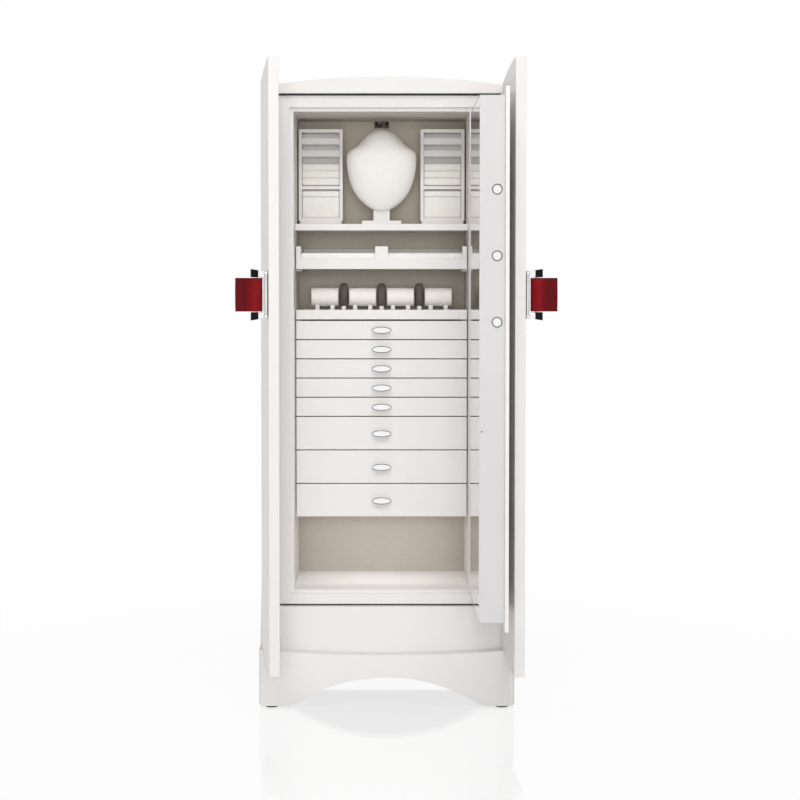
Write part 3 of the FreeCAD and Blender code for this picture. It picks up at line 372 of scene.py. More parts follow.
# the hook's own bronze; painted shade on the safe door's case and painted light on the compartments' floor
nodeFinish = {"wall_hook": bronze, "safe_door_case": shadedEnamel, "liner_floor": litEnamel}
for part in frame["record"]["subparts"]:
    data = nodes[part["node"]].data
    data.materials.clear()
    data.materials.append(nodeFinish.get(part["node"], slotFinish[part["material_slot"]]))
print("stage: finishes on the solid pieces")


# shared mesh helpers

roundSteps = 6  # rings in a rounded end
softness = {"weltWidth": 1.1, "creaseScale": 0.09, "least": 0.05}
slab = {"wave": 0.25, "waveFlat": 0.05, "waveTall": 0.02, "ease": 6.0, "still": 3.0}


def newPiece(name, bm, material, body, slot, *replaced):
    bmesh.ops.recalc_face_normals(bm, faces=bm.faces)
    mesh = bpy.data.meshes.new(name)
    bm.to_mesh(mesh)
    bm.free()
    for face in mesh.polygons:
        face.use_smooth = True
    mesh.materials.append(material)
    piece = bpy.data.objects.new(name, mesh)
    bpy.context.collection.objects.link(piece)
    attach(piece, body)
    if replaced:
        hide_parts(*replaced)
    return piece


def smoothOnce(piece):
    smooth = piece.modifiers.new("smooth", "SUBSURF")
    smooth.levels = 1
    smooth.render_levels = 1


def skinRings(bm, rings):
    # closed skin over rings of points, with a fan at each end
    made = [[bm.verts.new(point) for point in ring] for ring in rings]
    count = len(made[0])
    for a, b in zip(made, made[1:]):
        for i in range(count):
            j = (i + 1) % count
            bm.faces.new((a[i], a[j], b[j], b[i]))
    for ring in (made[0], made[-1]):
        centre = bm.verts.new(sum((v.co for v in ring), Vector()) / count)
        for i in range(count):
            bm.faces.new((ring[i], ring[(i + 1) % count], centre))
    return made


def stations(length, endRound, count):
    # places along a soft piece with how far each ring is drawn in, close together at the rounded ends
    turn = [k / roundSteps * math.pi / 2 for k in range(roundSteps + 1)]
    start = [(endRound * (1 - math.cos(a)), endRound * (1 - math.sin(a))) for a in turn]
    inner = [(endRound + (length - 2 * endRound) * k / count, 0.0) for k in range(1, count)]
    return start + inner + [(length - along, drawn) for along, drawn in reversed(start)]


def softRoll(bm, outline, x0, length, endRound, count, crown, crease, seed, welt=0.0):
    # a stuffed roll along X: an outline in depth and height, crowned, with rounded ends and a sewn edge
    middle = Vector((0, sum(y for y, z in outline), sum(z for y, z in outline))) / len(outline)
    scale = softness["creaseScale"]
    rings = []
    for along, drawn in stations(length, endRound, count):
        share = along / length
        fromEnd = min(along, length - along)
        swell = crown * 4 * share * (1 - share) - crown
        swell += welt * math.exp(-(((fromEnd - endRound) / softness["weltWidth"]) ** 2))
        ring = []
        for y, z in outline:
            arm = Vector((0, y, z)) - middle
            reach = arm.length
            wave = crease * noise.noise(Vector((along * scale + seed, y * scale, z * scale)))
            arm *= max(softness["least"], (reach + swell + wave - drawn) / reach)
            place = middle + arm
            ring.append(spot(x0 + along, place.y, place.z))
        rings.append(ring)
    skinRings(bm, rings)


def softSlab(bm, outline, x0, length, endRound, floor, count=24):
    # a pad along X whose ends round off at the top and stay upright below
    rings = []
    for along, drawn in stations(length, endRound, count):
        ring = []
        for y, z in outline:
            lift = max(0.0, z - floor)
            flat = slab["waveFlat"]
            wave = slab["wave"] * noise.noise(Vector((along * flat, y * flat, z * slab["waveTall"])))
            rise = lift - drawn * min(1.0, lift / slab["ease"]) + (wave if lift > slab["still"] else 0.0)
            ring.append(spot(x0 + along, y, floor + max(0.0, rise)))
        rings.append(ring)
    skinRings(bm, rings)


def ovalOutline(y, z, halfDepth, halfHeight, count=48):
    turns = [2 * math.pi * k / count for k in range(count)]
    return [(y + halfDepth * math.cos(a), z + halfHeight * math.sin(a)) for a in turns]


def quarter(y, z, radius, start, steps=5):
    # points on a quarter circle, from the angle start towards smaller angles
    turns = [start - k / steps * math.pi / 2 for k in range(steps + 1)]
    return [(y + radius * math.cos(a), z + radius * math.sin(a)) for a in turns]


def slabOutline(front, back, low, high, corner, crown, steps=12):
    # a pad's section, seen from its end: square underneath, rounded and a little crowned on top
    points = [(front, low)]
    points += quarter(front + corner, high - corner, corner, math.pi)
    for k in range(1, steps):
        share = k / steps
        y = front + corner + (back - front - 2 * corner) * share
        points.append((y, high + crown * 4 * share * (1 - share)))
    points += quarter(back - corner, high - corner, corner, math.pi / 2)
    points.append((back, low))
    return points


def loop(centre, half, axis, count=64):
    # an oval of points round a centre, facing along X or Y
    points = []
    for k in range(count):
        a = 2 * math.pi * k / count
        flat = half[0] * mm * math.cos(a)
        up = half[1] * mm * math.sin(a)
        points.append(centre + (Vector((flat, 0, up)) if axis == "Y" else Vector((0, flat, up))))
    return points


# node trees for what repeats along a line


def growTree(name, material, inputs, kinds, settings, values, links, last):
    # last names the node and the output that hold the shape before it is made real and painted
    tree = bpy.data.node_groups.new(name, "GeometryNodeTree")
    tree.interface.new_socket("Geometry", in_out="INPUT", socket_type="NodeSocketGeometry")
    for label, value in inputs.items():
        socket = tree.interface.new_socket(label, in_out="INPUT", socket_type="NodeSocketFloat")
        socket.default_value = value
    tree.interface.new_socket("Geometry", in_out="OUTPUT", socket_type="NodeSocketGeometry")
    made = {"in": tree.nodes.new("NodeGroupInput"), "out": tree.nodes.new("NodeGroupOutput")}
    made["real"] = tree.nodes.new("GeometryNodeRealizeInstances")
    made["paint"] = tree.nodes.new("GeometryNodeSetMaterial")
    made["paint"].inputs["Material"].default_value = material
    for key, kind in kinds.items():
        made[key] = tree.nodes.new(kind)
    for key, field, value in settings:
        setattr(made[key], field, value)
    for key, socket, value in values:
        made[key].inputs[socket].default_value = value
    ends = (
        (*last, "real", "Geometry"),
        ("real", "Geometry", "paint", "Geometry"),
        ("paint", "Geometry", "out", "Geometry"),
    )
    for a, out, b, into in (*links, *ends):
        tree.links.new(made[a].outputs[out], made[b].inputs[into])
    return tree


def makeStitchTree(material):
    # long beads spaced along each edge of the mesh
    return growTree(
        "seam stitches",
        material,
        {"Pitch": 0.005, "Thread": 0.0004, "Length": 0.0035},
        {
            "line": "GeometryNodeMeshToCurve", "even": "GeometryNodeResampleCurve",
            "ball": "GeometryNodeMeshUVSphere", "tangent": "GeometryNodeInputTangent",
            "aim": "FunctionNodeAlignRotationToVector", "half": "ShaderNodeMath",
            "size": "ShaderNodeCombineXYZ", "copies": "GeometryNodeInstanceOnPoints",
        },
        (("even", "mode", "LENGTH"), ("aim", "axis", "Z"), ("half", "operation", "DIVIDE")),
        (("half", 1, 2.0), ("ball", "Segments", 8), ("ball", "Rings", 6), ("ball", "Radius", 1.0)),
        (
            ("in", "Geometry", "line", "Mesh"), ("line", "Curve", "even", "Curve"),
            ("in", "Pitch", "even", "Length"), ("even", "Curve", "copies", "Points"),
            ("ball", "Mesh", "copies", "Instance"), ("tangent", "Tangent", "aim", "Vector"),
            ("aim", "Rotation", "copies", "Rotation"), ("in", "Length", "half", 0),
            ("in", "Thread", "size", "X"), ("in", "Thread", "size", "Y"), ("half", 0, "size", "Z"),
            ("size", "Vector", "copies", "Scale"),
        ),
        ("copies", "Instances"),
    )


def makeBeadTree(material):
    # a round bead along each line of edges
    return growTree(
        "bead along a line",
        material,
        {"Thread": 0.001},
        {
            "line": "GeometryNodeMeshToCurve", "round": "GeometryNodeCurvePrimitiveCircle",
            "tube": "GeometryNodeCurveToMesh",
        },
        (),
        (("round", "Resolution", 10), ("tube", "Fill Caps", True)),
        (
            ("in", "Geometry", "line", "Mesh"), ("line", "Curve", "tube", "Curve"),
            ("in", "Thread", "round", "Radius"), ("round", "Curve", "tube", "Profile Curve"),
        ),
        ("tube", "Mesh"),
    )


def makeScrewTree(material):
    # low domed heads spaced along each line of edges, facing backwards
    return growTree(
        "rows of screws",
        material,
        {"Pitch": 0.2, "Head": 0.004},
        {
            "line": "GeometryNodeMeshToCurve", "even": "GeometryNodeResampleCurve",
            "dome": "GeometryNodeMeshUVSphere", "flat": "ShaderNodeMath",
            "size": "ShaderNodeCombineXYZ", "copies": "GeometryNodeInstanceOnPoints",
        },
        (("even", "mode", "LENGTH"), ("flat", "operation", "MULTIPLY")),
        (("flat", 1, 0.3), ("dome", "Segments", 20), ("dome", "Rings", 10), ("dome", "Radius", 1.0)),
        (
            ("in", "Geometry", "line", "Mesh"), ("line", "Curve", "even", "Curve"),
            ("in", "Pitch", "even", "Length"), ("even", "Curve", "copies", "Points"),
            ("dome", "Mesh", "copies", "Instance"), ("in", "Head", "flat", 0),
            ("in", "Head", "size", "X"), ("flat", 0, "size", "Y"), ("in", "Head", "size", "Z"),
            ("size", "Vector", "copies", "Scale"),
        ),
        ("copies", "Instances"),
    )


def runNodes(name, lines, tree, values, body):
    # the tree grows the piece along lines of points, and the result is kept as a plain mesh
    points, edges = [], []
    for line, closed in lines:
        first = len(points)
        points += line
        edges += [(first + k, first + k + 1) for k in range(len(line) - 1)]
        if closed:
            edges.append((len(points) - 1, first))
    mesh = bpy.data.meshes.new(name)
    mesh.from_pydata(points, edges, [])
    piece = bpy.data.objects.new(name, mesh)
    bpy.context.collection.objects.link(piece)
    modifier = piece.modifiers.new("nodes", "NODES")
    modifier.node_group = tree
    for item in tree.interface.items_tree:
        if item.name in values:
            modifier[item.identifier] = values[item.name] * mm
    keepShape(piece, modifier)
    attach(piece, body)
    return piece


def keepShape(piece, modifier):
    # the modifier's result becomes the piece's own mesh
    graph = bpy.context.evaluated_depsgraph_get()
    made = bpy.data.meshes.new_from_object(piece.evaluated_get(graph))
    piece.modifiers.remove(modifier)
    old = piece.data
    piece.data = made
    bpy.data.meshes.remove(old)
    for face in made.polygons:
        face.use_smooth = True


# cushions on the sliding tray

cushion = {
    "count": 4, "pitch": 110.6, "length": 80.0, "radius": 28.0, "crown": 1.2, "round": 3.0, "y": 190.0,
    "z": 1162.5, "rings": 24, "crease": 0.3, "seedStep": 7.3, "pipe": 0.9, "pipeInset": 1.6,
    "pipeSink": 0.3,
}
slim = {
    "width": 26.0, "depth": 44.0, "tall": 72.0, "z": 1168.0, "round": 7.0, "rings": 10, "crown": 0.8,
    "welt": 0.4, "crease": 0.3, "seedStep": 5.1,
}
puff = {  # the cloth run on the cushions, from a shape that is smaller by start
    "voxel": 3.0, "pressure": 4.0, "frames": 20, "cap": 1.6, "start": 0.8, "quality": 6, "mass": 0.3,
    "stiffness": 25.0,
}


def inflate(piece):
    # a cloth run under light pressure; each point may move no further than the cap
    remesh = piece.modifiers.new("even", "REMESH")
    remesh.mode = "VOXEL"
    remesh.voxel_size = puff["voxel"] * mm
    keepShape(piece, remesh)
    rest = [vertex.co.copy() for vertex in piece.data.vertices]
    cloth = piece.modifiers.new("cloth", "CLOTH")
    cloth.settings.quality = puff["quality"]
    cloth.settings.mass = puff["mass"]
    cloth.settings.tension_stiffness = puff["stiffness"]
    cloth.settings.compression_stiffness = puff["stiffness"]
    cloth.settings.use_pressure = True
    cloth.settings.uniform_pressure_force = puff["pressure"]
    cloth.settings.effector_weights.gravity = 0.0
    cloth.point_cache.frame_start = 1
    cloth.point_cache.frame_end = puff["frames"]
    for step in range(1, puff["frames"] + 1):
        bpy.context.scene.frame_set(step)
    keepShape(piece, cloth)
    bpy.context.scene.frame_set(1)
    for vertex, start in zip(piece.data.vertices, rest):
        move = vertex.co - start
        if move.length > puff["cap"] * mm:
            vertex.co = start + move.normalized() * puff["cap"] * mm
    smoothOnce(piece)


def makeCushions():
    first = insideMiddle - cushion["pitch"] * (cushion["count"] - 1) / 2
    shrink = puff["start"]
    body = "cushion_tray_set"
    bm = bmesh.new()
    pipes = []
    for step in range(cushion["count"]):
        x = first + cushion["pitch"] * step
        radius = cushion["radius"] - shrink
        length = cushion["length"] - 2 * shrink
        outline = ovalOutline(cushion["y"], cushion["z"], radius, radius)
        softRoll(
            bm, outline, x - length / 2, length, cushion["round"], cushion["rings"], cushion["crown"],
            cushion["crease"], step * cushion["seedStep"],
        )
        for side in (-1, 1):
            end = x + side * (cushion["length"] / 2 - cushion["pipeInset"])
            reach = cushion["radius"] - cushion["crown"] - cushion["pipeSink"]
            pipes.append((loop(spot(end, cushion["y"], cushion["z"]), (reach, reach), "X"), True))
    rolls = newPiece("roll_cushion_set", bm, creamLeather, body, "cream_leather", "roll_cushions")

    bm = bmesh.new()
    for step in range(cushion["count"] - 1):
        x = first + cushion["pitch"] * (step + 0.5)
        width = slim["width"] - 2 * shrink
        half = (slim["depth"] / 2 - shrink, slim["tall"] / 2 - shrink)
        outline = ovalOutline(cushion["y"], slim["z"], *half)
        softRoll(
            bm, outline, x - width / 2, width, slim["round"], slim["rings"], slim["crown"],
            slim["crease"], step * slim["seedStep"], slim["welt"],
        )
    holders = newPiece("slim_cushion_set", bm, taupeLeather, body, "taupe_leather", "slim_cushions")
    for piece in (rolls, holders):
        inflate(piece)
    pipeTree = makeBeadTree(creamLeather)
    runNodes("roll_piping", pipes, pipeTree, {"Thread": cushion["pipe"]}, body)


makeCushions()
print("stage: tray cushions")


# pads in the upper tray

trayPad = {
    "left": -249.0, "right": 219.0, "middleGap": 5.5, "front": 134.5, "back": 336.0, "floor": 1252.0,
}
flatPad = {"height": 40.0, "round": 5.0, "crown": 1.0}
ringRoll = {"count": 6, "side": 25.0, "height": 40.0, "dip": 5.0, "round": 3.0, "gap": 0.2, "steps": 12}


def rolledOutline():
    # a row of rounded ridges with a groove between each two
    pitch = (trayPad["back"] - trayPad["front"]) / ringRoll["count"]
    half = pitch / 2 - ringRoll["gap"]
    side = trayPad["floor"] + ringRoll["side"]
    rise = ringRoll["height"] - ringRoll["side"]
    points = [(trayPad["front"], trayPad["floor"])]
    for step in range(ringRoll["count"]):
        y = trayPad["front"] + step * pitch
        for k in range(ringRoll["steps"] + 1):
            a = math.pi - k / ringRoll["steps"] * math.pi
            points.append((y + pitch / 2 + half * math.cos(a), side + rise * math.sin(a)))
        if step < ringRoll["count"] - 1:
            points.append((y + pitch, side - ringRoll["dip"]))
    points.append((trayPad["back"], trayPad["floor"]))
    return points


def makeTrayPads():
    bm = bmesh.new()
    floor = trayPad["floor"]
    top = floor + flatPad["height"] - flatPad["crown"]
    outline = slabOutline(trayPad["front"], trayPad["back"], floor, top, flatPad["round"], flatPad["crown"])
    end = insideMiddle - trayPad["middleGap"]
    softSlab(bm, outline, trayPad["left"], end - trayPad["left"], flatPad["round"], floor)
    start = insideMiddle + trayPad["middleGap"]
    softSlab(bm, rolledOutline(), start, trayPad["right"] - start, ringRoll["round"], floor)
    pads = newPiece("tray_pad_set", bm, creamSuede, "upper_tray_set", "cream_fabric", "tray_pads")


makeTrayPads()
print("stage: tray pads")


# slotted pads in the display racks

rackPad = {
    "middle": 180.5, "half": 55.0, "front": 260.0, "back": 312.0, "corner": 6.0, "swell": 0.8,
    "swellSteps": 8, "slotDepth": 8.0, "slotWidth": 1.8, "lip": 0.8, "lipRise": 0.7, "throat": 2.2,
    "endRound": 5.0, "ease": 40.0, "rings": 16, "ringLow": 1493.0, "ringHigh": 1558.0, "lowLow": 1397.0,
    "lowHigh": 1479.0, "lowSlot": 1459.0,
}


def slottedOutline(low, high, slots):
    front, back, corner = rackPad["front"], rackPad["back"], rackPad["corner"]
    half = rackPad["slotWidth"] / 2
    edge = [(front + rackPad["lip"], half + rackPad["lipRise"]), (front + rackPad["throat"], half)]
    lips = [low + corner, *sorted(slots), high - corner]
    points = [(back, low)]
    points += quarter(front + corner, low + corner, corner, -math.pi / 2)
    for a, b in zip(lips, lips[1:]):
        for k in range(1, rackPad["swellSteps"]):
            share = k / rackPad["swellSteps"]
            points.append((front - rackPad["swell"] * math.sin(math.pi * share), a + (b - a) * share))
        if b != lips[-1]:
            points += [(y, b - up) for y, up in edge]
            points.append((front + rackPad["slotDepth"], b))
            points += [(y, b + up) for y, up in reversed(edge)]
    points += quarter(front + corner, high - corner, corner, math.pi)
    points.append((back, high))
    return points


def makeRackPads():
    ringHeight = rackPad["ringHigh"] - rackPad["ringLow"]
    ringSlots = [rackPad["ringLow"] + ringHeight / 3, rackPad["ringLow"] + ringHeight * 2 / 3]
    outlines = (
        slottedOutline(rackPad["ringLow"], rackPad["ringHigh"], ringSlots),
        slottedOutline(rackPad["lowLow"], rackPad["lowHigh"], [rackPad["lowSlot"]]),
    )
    bm = bmesh.new()
    for side in (-1, 1):
        x0 = insideMiddle + side * rackPad["middle"] - rackPad["half"]
        for outline in outlines:
            rings = []
            for along, drawn in stations(2 * rackPad["half"], rackPad["endRound"], rackPad["rings"]):
                ring = []
                for y, z in outline:
                    ahead = max(0.0, rackPad["back"] - y)
                    ring.append(spot(x0 + along, y + drawn * min(1.0, ahead / rackPad["ease"]), z))
                rings.append(ring)
            skinRings(bm, rings)
    pads = newPiece("rack_pad_set", bm, creamSuede, "cabinet", "cream_fabric", "display_pads")


makeRackPads()
print("stage: rack pads")


# the form on its stem

form = {
    "back": 225.0, "low": 1416.0, "height": 239.0, "width": 206.0, "depth": 54.0, "bulge": 0.85,
    "depthShare": 0.95, "depthLeast": 4.0, "frontSteps": 40, "backSteps": 12,
}
formOutline = [  # share of the height, of the width, of the depth
    (0.000, 0.070, 0.14), (0.008, 0.180, 0.22), (0.026, 0.305, 0.31), (0.074, 0.470, 0.44),
    (0.148, 0.650, 0.60), (0.205, 0.750, 0.70), (0.270, 0.832, 0.80), (0.330, 0.885, 0.87),
    (0.395, 0.930, 0.92), (0.460, 0.962, 0.96), (0.530, 0.987, 0.985), (0.617, 1.000, 1.00),
    (0.670, 0.996, 1.00), (0.706, 0.975, 0.99), (0.735, 0.930, 0.975), (0.758, 0.855, 0.96),
    (0.780, 0.765, 0.945), (0.805, 0.680, 0.93), (0.840, 0.610, 0.91), (0.880, 0.535, 0.875),
    (0.920, 0.445, 0.80), (0.955, 0.345, 0.68), (0.980, 0.230, 0.50), (0.994, 0.125, 0.32),
    (1.000, 0.055, 0.20),
]


def makeForm():
    bm = bmesh.new()
    rings = []
    for up, wide, deep in formOutline:
        z = form["low"] + up * form["height"]
        half = wide * form["width"] / 2
        front = min(deep * form["depth"], form["depthShare"] * half + form["depthLeast"])
        ring = []
        for k in range(form["frontSteps"] + 1):
            a = math.pi * k / form["frontSteps"]
            ahead = front * math.sin(a) ** form["bulge"]
            ring.append(spot(insideMiddle - half * math.cos(a), form["back"] - ahead, z))
        for k in range(1, form["backSteps"]):
            ring.append(spot(insideMiddle + half * (1 - 2 * k / form["backSteps"]), form["back"], z))
        rings.append(ring)
    skinRings(bm, rings)
    smoothOnce(newPiece("bust_shape", bm, formCloth, "cabinet", "cream_fabric", "bust_form"))


makeForm()
print("stage: form")


# leather pulls on the door handles

pull = {
    "height": 89.0, "roll": 18.0, "neck": 9.0, "pinchAt": 21.5, "pinch": 4.2, "tab": 54.0, "tabHalf": 4.8,
    "tabRise": 0.35, "lip": 2.6, "tip": (2.0, 1.2, 0.6, 0.2, 0.0), "step": 1.5, "rollSteps": 10,
    "endRound": 1.6, "rings": 30, "least": 2.0, "leftOpen": 83.0, "rightOpen": 92.0,
}
wear = {"wave": 0.25, "waveFlat": 0.05, "waveTall": 0.04, "sag": 0.5, "sagFrom": 30.0}
# real dark edge paint on the ends and the tab's tip, painted shade in the crease and over the tab
edgePaintAndShade = {"width": 1.6, "crease": 0.55, "creaseShadeWidth": 1.8, "tabShadeFade": 3.0}
stitch = {"at": 23.0, "pitch": 5.2, "gap": 1.4, "thread": 0.45, "inset": 4.0}


def easeIn(share):
    return share * share * (3 - 2 * share)


def tabHalf(out):
    # half thickness of the pull at a distance outward from the rod
    roll, neck, pinchAt, end = pull["roll"], pull["neck"], pull["pinchAt"], pull["tab"]
    if out <= neck:
        return math.sqrt(max(0.0, roll**2 - out**2))
    edge = math.sqrt(roll**2 - neck**2)
    if out <= pinchAt:
        return edge + (pull["pinch"] - edge) * easeIn((out - neck) / (pinchAt - neck))
    rise = min(1.0, (out - pinchAt) / (end - pinchAt) / pull["tabRise"])
    thick = pull["pinch"] + (pull["tabHalf"] - pull["pinch"]) * easeIn(rise)
    left, lip = end - out, pull["lip"]
    if left < lip:
        thick *= math.sqrt(max(0.0, 1 - ((lip - left) / lip) ** 2))
    return thick


def pullSection():
    steps = pull["rollSteps"]
    outs = [-pull["roll"] * math.cos(math.pi / 2 * k / steps) for k in range(steps)]
    outs += [k * pull["step"] for k in range(int((pull["tab"] - pull["tip"][0]) / pull["step"]) + 1)]
    outs += [pull["tab"] - left for left in pull["tip"]]
    right = [(tabHalf(out), out) for out in outs]
    left = [(-x, out) for x, out in reversed(right[1:-1])]
    return right + left


def pullPoint(x, out, along, drawn):
    # the section's point at a height along the rod, drawn in at the ends and a little out of true
    flat = wear["waveFlat"]
    wave = wear["wave"] * noise.noise(Vector((x * flat, out * flat, along * wear["waveTall"])))
    sag = wear["sag"] * (math.sin(along / pull["height"] * math.pi) - 0.5)
    onRoll = out < pull["neck"]
    reach = math.hypot(x, out) if onRoll else abs(x)
    shrink = max(0.0, 1 - drawn / max(reach, pull["least"]))
    ahead = out * (shrink if onRoll else 1.0) + (sag if out > wear["sagFrom"] else 0.0)
    return Vector((x * shrink + wave, -ahead, along - pull["height"] / 2)) * mm


def makePull(side, body, turn):
    axis = Vector(joints[side + "_pull_swing"]["pos_m"])
    place = Matrix.Translation(axis) @ Matrix.Rotation(math.radians(turn), 4, "Z")
    section = pullSection()
    bm = bmesh.new()
    painted = bm.verts.layers.float.new("painted")
    tab = bm.verts.layers.float.new("tab")
    rings = []
    for along, drawn in stations(pull["height"], pull["endRound"], pull["rings"]):
        rings.append([place @ pullPoint(x, out, along, drawn) for x, out in section])
    made = skinRings(bm, rings)
    for ring in (*made[:roundSteps], *made[-roundSteps:]):
        for vertex in ring:
            vertex[painted] = 1.0
    # marks for the real edge paint at the tab's tip, the painted shade in the crease and the painted shade over
    # the tab
    for ring in made:
        for vertex, (x, out) in zip(ring, section):
            fromPinch = out - pull["pinchAt"]
            if out > pull["tab"] - edgePaintAndShade["width"]:
                vertex[painted] = 1.0
            crease = math.exp(-((fromPinch / edgePaintAndShade["creaseShadeWidth"]) ** 2))
            vertex[painted] = max(vertex[painted], edgePaintAndShade["crease"] * crease)
            vertex[tab] = min(1.0, max(0.0, fromPinch / edgePaintAndShade["tabShadeFade"]))
    piece = newPiece("leather_pull_" + side, bm, redLeather, body, "red_leather", side + "_pull")
    return place


threadLook = makeLeather("dark red thread", srgb(120, 14, 28), srgb(96, 8, 20), threadSkin)
stitchTree = makeStitchTree(threadLook)


def makeStitches(side, body, place):
    half = pull["height"] / 2 - stitch["inset"]
    across = tabHalf(stitch["at"])
    lines = []
    for face in (-1, 1):
        ends = [Vector((face * across, -stitch["at"], z)) for z in (-half, half)]
        lines.append(([place @ (end * mm) for end in ends], False))
    length = stitch["pitch"] - stitch["gap"]
    values = {"Pitch": stitch["pitch"], "Thread": stitch["thread"], "Length": length}
    runNodes("pull_stitches_" + side, lines, stitchTree, values, body)


# the handles' arm tips, painted dark as a reflection in their chrome, and posts with ball ends

handle = {
    "reach": 33.0, "armReach": 46.0, "capFrom": 26.0, "plateHalf": 13.0, "half": 62.5, "plate": 12.0,
    "flare": 5.5, "root": 16.0, "skin": 0.25, "bevel": 0.8, "bevelSteps": 3, "postOut": 5.5,
    "postAside": 13.5, "post": 4.4, "ball": 7.2, "ballUp": 57.0, "ballSteps": 12, "sides": 24,
}


def armEdge(out):
    # height of an arm's outer edge at a distance out from the door's face
    share = max(0.0, (out - handle["plate"]) / (handle["armReach"] - handle["plate"]))
    return handle["half"] + handle["flare"] * share


def makeHandleTips(side, body, place):
    bm = bmesh.new()
    skin = handle["skin"]
    tip = handle["armReach"] + skin
    inner = handle["half"] - handle["root"] - skin
    outline = (
        (handle["capFrom"], inner),
        (tip, inner),
        (tip, armEdge(handle["armReach"]) + skin),
        (handle["capFrom"], armEdge(handle["capFrom"]) + skin),
    )
    for up in (-1, 1):
        corners = [(handle["reach"] - out, up * z) for out, z in outline]
        ends = []
        for x in (-handle["plateHalf"] - skin, handle["plateHalf"] + skin):
            ends.append([bm.verts.new(place @ (Vector((x, y, z)) * mm)) for y, z in corners])
        for k in range(len(corners)):
            j = (k + 1) % len(corners)
            bm.faces.new((ends[0][k], ends[0][j], ends[1][j], ends[1][k]))
        for end in ends:
            bm.faces.new(end)
    offset, steps = handle["bevel"] * mm, handle["bevelSteps"]
    bmesh.ops.bevel(bm, geom=bm.edges[:], offset=offset, segments=steps, affect="EDGES", profile=0.5)
    tips = newPiece("handle_tips_" + side, bm, darkReflectionChrome, body, "chrome")
    tips.data.shade_flat()


def makeHandlePost(side, body, place, towardEdge):
    neck = math.asin(handle["post"] / handle["ball"])
    neckUp = handle["ballUp"] - handle["ball"] * math.cos(neck)
    outline = []
    for k in range(handle["ballSteps"] + 1):
        a = math.pi * k / handle["ballSteps"]
        outline.append((handle["ball"] * math.sin(a), handle["ballUp"] + handle["ball"] * math.cos(a)))
    outline = [(radius, z) for radius, z in outline if z > neckUp]
    outline.append((handle["post"], neckUp))
    profile = outline + [(radius, -z) for radius, z in reversed(outline)]
    rings = []
    for radius, z in profile[1:-1]:
        ring = []
        for k in range(handle["sides"]):
            a = 2 * math.pi * k / handle["sides"]
            x = towardEdge * handle["postAside"] + radius * math.cos(a)
            y = handle["reach"] - handle["postOut"] + radius * math.sin(a)
            ring.append(place @ (Vector((x, y, z)) * mm))
        rings.append(ring)
    bm = bmesh.new()
    skinRings(bm, rings)
    newPiece("handle_post_" + side, bm, chrome, body, "chrome")


for side, turn, towardEdge in (("left", -pull["leftOpen"], 1), ("right", pull["rightOpen"], -1)):
    pullPlace = makePull(side, side + "_leather_pull", turn)
    makeStitches(side, side + "_leather_pull", pullPlace)
    makeHandleTips(side, side + "_outer_door", pullPlace)
    makeHandlePost(side, side + "_outer_door", pullPlace, towardEdge)
print("stage: leather pulls")


# grey beads painted as the dark reflection round the knobs' rims, grey rings painted as the shade round the bolts,
# dark strips painted as the shade in the gaps, screws in the back

rimDarkReflection = {"bead": 1.0, "inset": 0.6}
boltGapShade = {"bead": 0.8, "gap": 1.1, "bolt": 12.0, "sides": 48}
pin = {"bead": 2.2, "inset": 7.0, "up": 826.0, "out": 1.0}
gapShade = {
    "half": 333.5, "topLow": 1735.6, "topHigh": 1739.6, "topFront": 21.0, "topBack": 26.0,
    "bottomLow": 281.6, "bottomHigh": 285.4, "bottomFront": 17.2, "bottomBack": 18.2,
}
screw = {"inset": 14.0, "pitch": 196.0, "head": 4.2}
rimTree = makeBeadTree(shadeAndPinGrey)
screwTree = makeScrewTree(steel)


def makeKnobRimReflections():
    # a grey bead round each knob's face, painted as the dark reflection at its rim
    for number in range(1, drawerCount + 1):
        low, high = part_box(f"drawer_knob_{number}")
        centre = (low + high) / 2
        centre.y = low.y
        half = [size / 2 / mm - rimDarkReflection["inset"] for size in (high.x - low.x, high.z - low.z)]
        lines = [(loop(centre, half, "Y"), True)]
        body = f"drawer_set_{number}"
        runNodes(f"knob_rim_{number}", lines, rimTree, {"Thread": rimDarkReflection["bead"]}, body)


def makeBoltGapShade():
    # a grey ring round each bolt's end, painted as the shade in the gap round it
    low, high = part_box("locking_bolts")
    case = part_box("safe_door_case")[0]
    radius = boltGapShade["bolt"] + boltGapShade["gap"]
    lines = []
    for share in (0.0, 0.5, 1.0):
        z = low.z + boltGapShade["bolt"] * mm + share * (high.z - low.z - 2 * boltGapShade["bolt"] * mm)
        centre = Vector(((low.x + high.x) / 2, case.y, z))
        lines.append((loop(centre, (radius, radius), "Y", boltGapShade["sides"]), True))
    runNodes("bolt_gap_shade", lines, rimTree, {"Thread": boltGapShade["bead"]}, "safe_door")


def makePin():
    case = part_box("safe_door_case")[0]
    place = Vector((case.x + pin["inset"] * mm, case.y, pin["up"] * mm))
    lines = [([place, place - Vector((0, pin["out"], 0)) * mm], False)]
    runNodes("case_pin", lines, rimTree, {"Thread": pin["bead"]}, "safe_door")


def addBox(bm, low, high):
    corners = [(x, y, z) for x in (low.x, high.x) for y in (low.y, high.y) for z in (low.z, high.z)]
    made = [bm.verts.new(corner) for corner in corners]
    for face in ((0, 1, 3, 2), (4, 6, 7, 5), (0, 4, 5, 1), (2, 3, 7, 6), (0, 2, 6, 4), (1, 5, 7, 3)):
        bm.faces.new([made[k] for k in face])


def makePaintedGapShade():
    # dark strips set in the shadow gaps over and under the safe, painted as their shade
    bm = bmesh.new()
    for end in ("top", "bottom"):
        low = spot(-gapShade["half"], gapShade[end + "Front"], gapShade[end + "Low"])
        high = spot(gapShade["half"], gapShade[end + "Back"], gapShade[end + "High"])
        addBox(bm, low, high)
    shadeStrips = newPiece("painted_gap_shade", bm, rubber, "cabinet", "glide")
    shadeStrips.data.shade_flat()


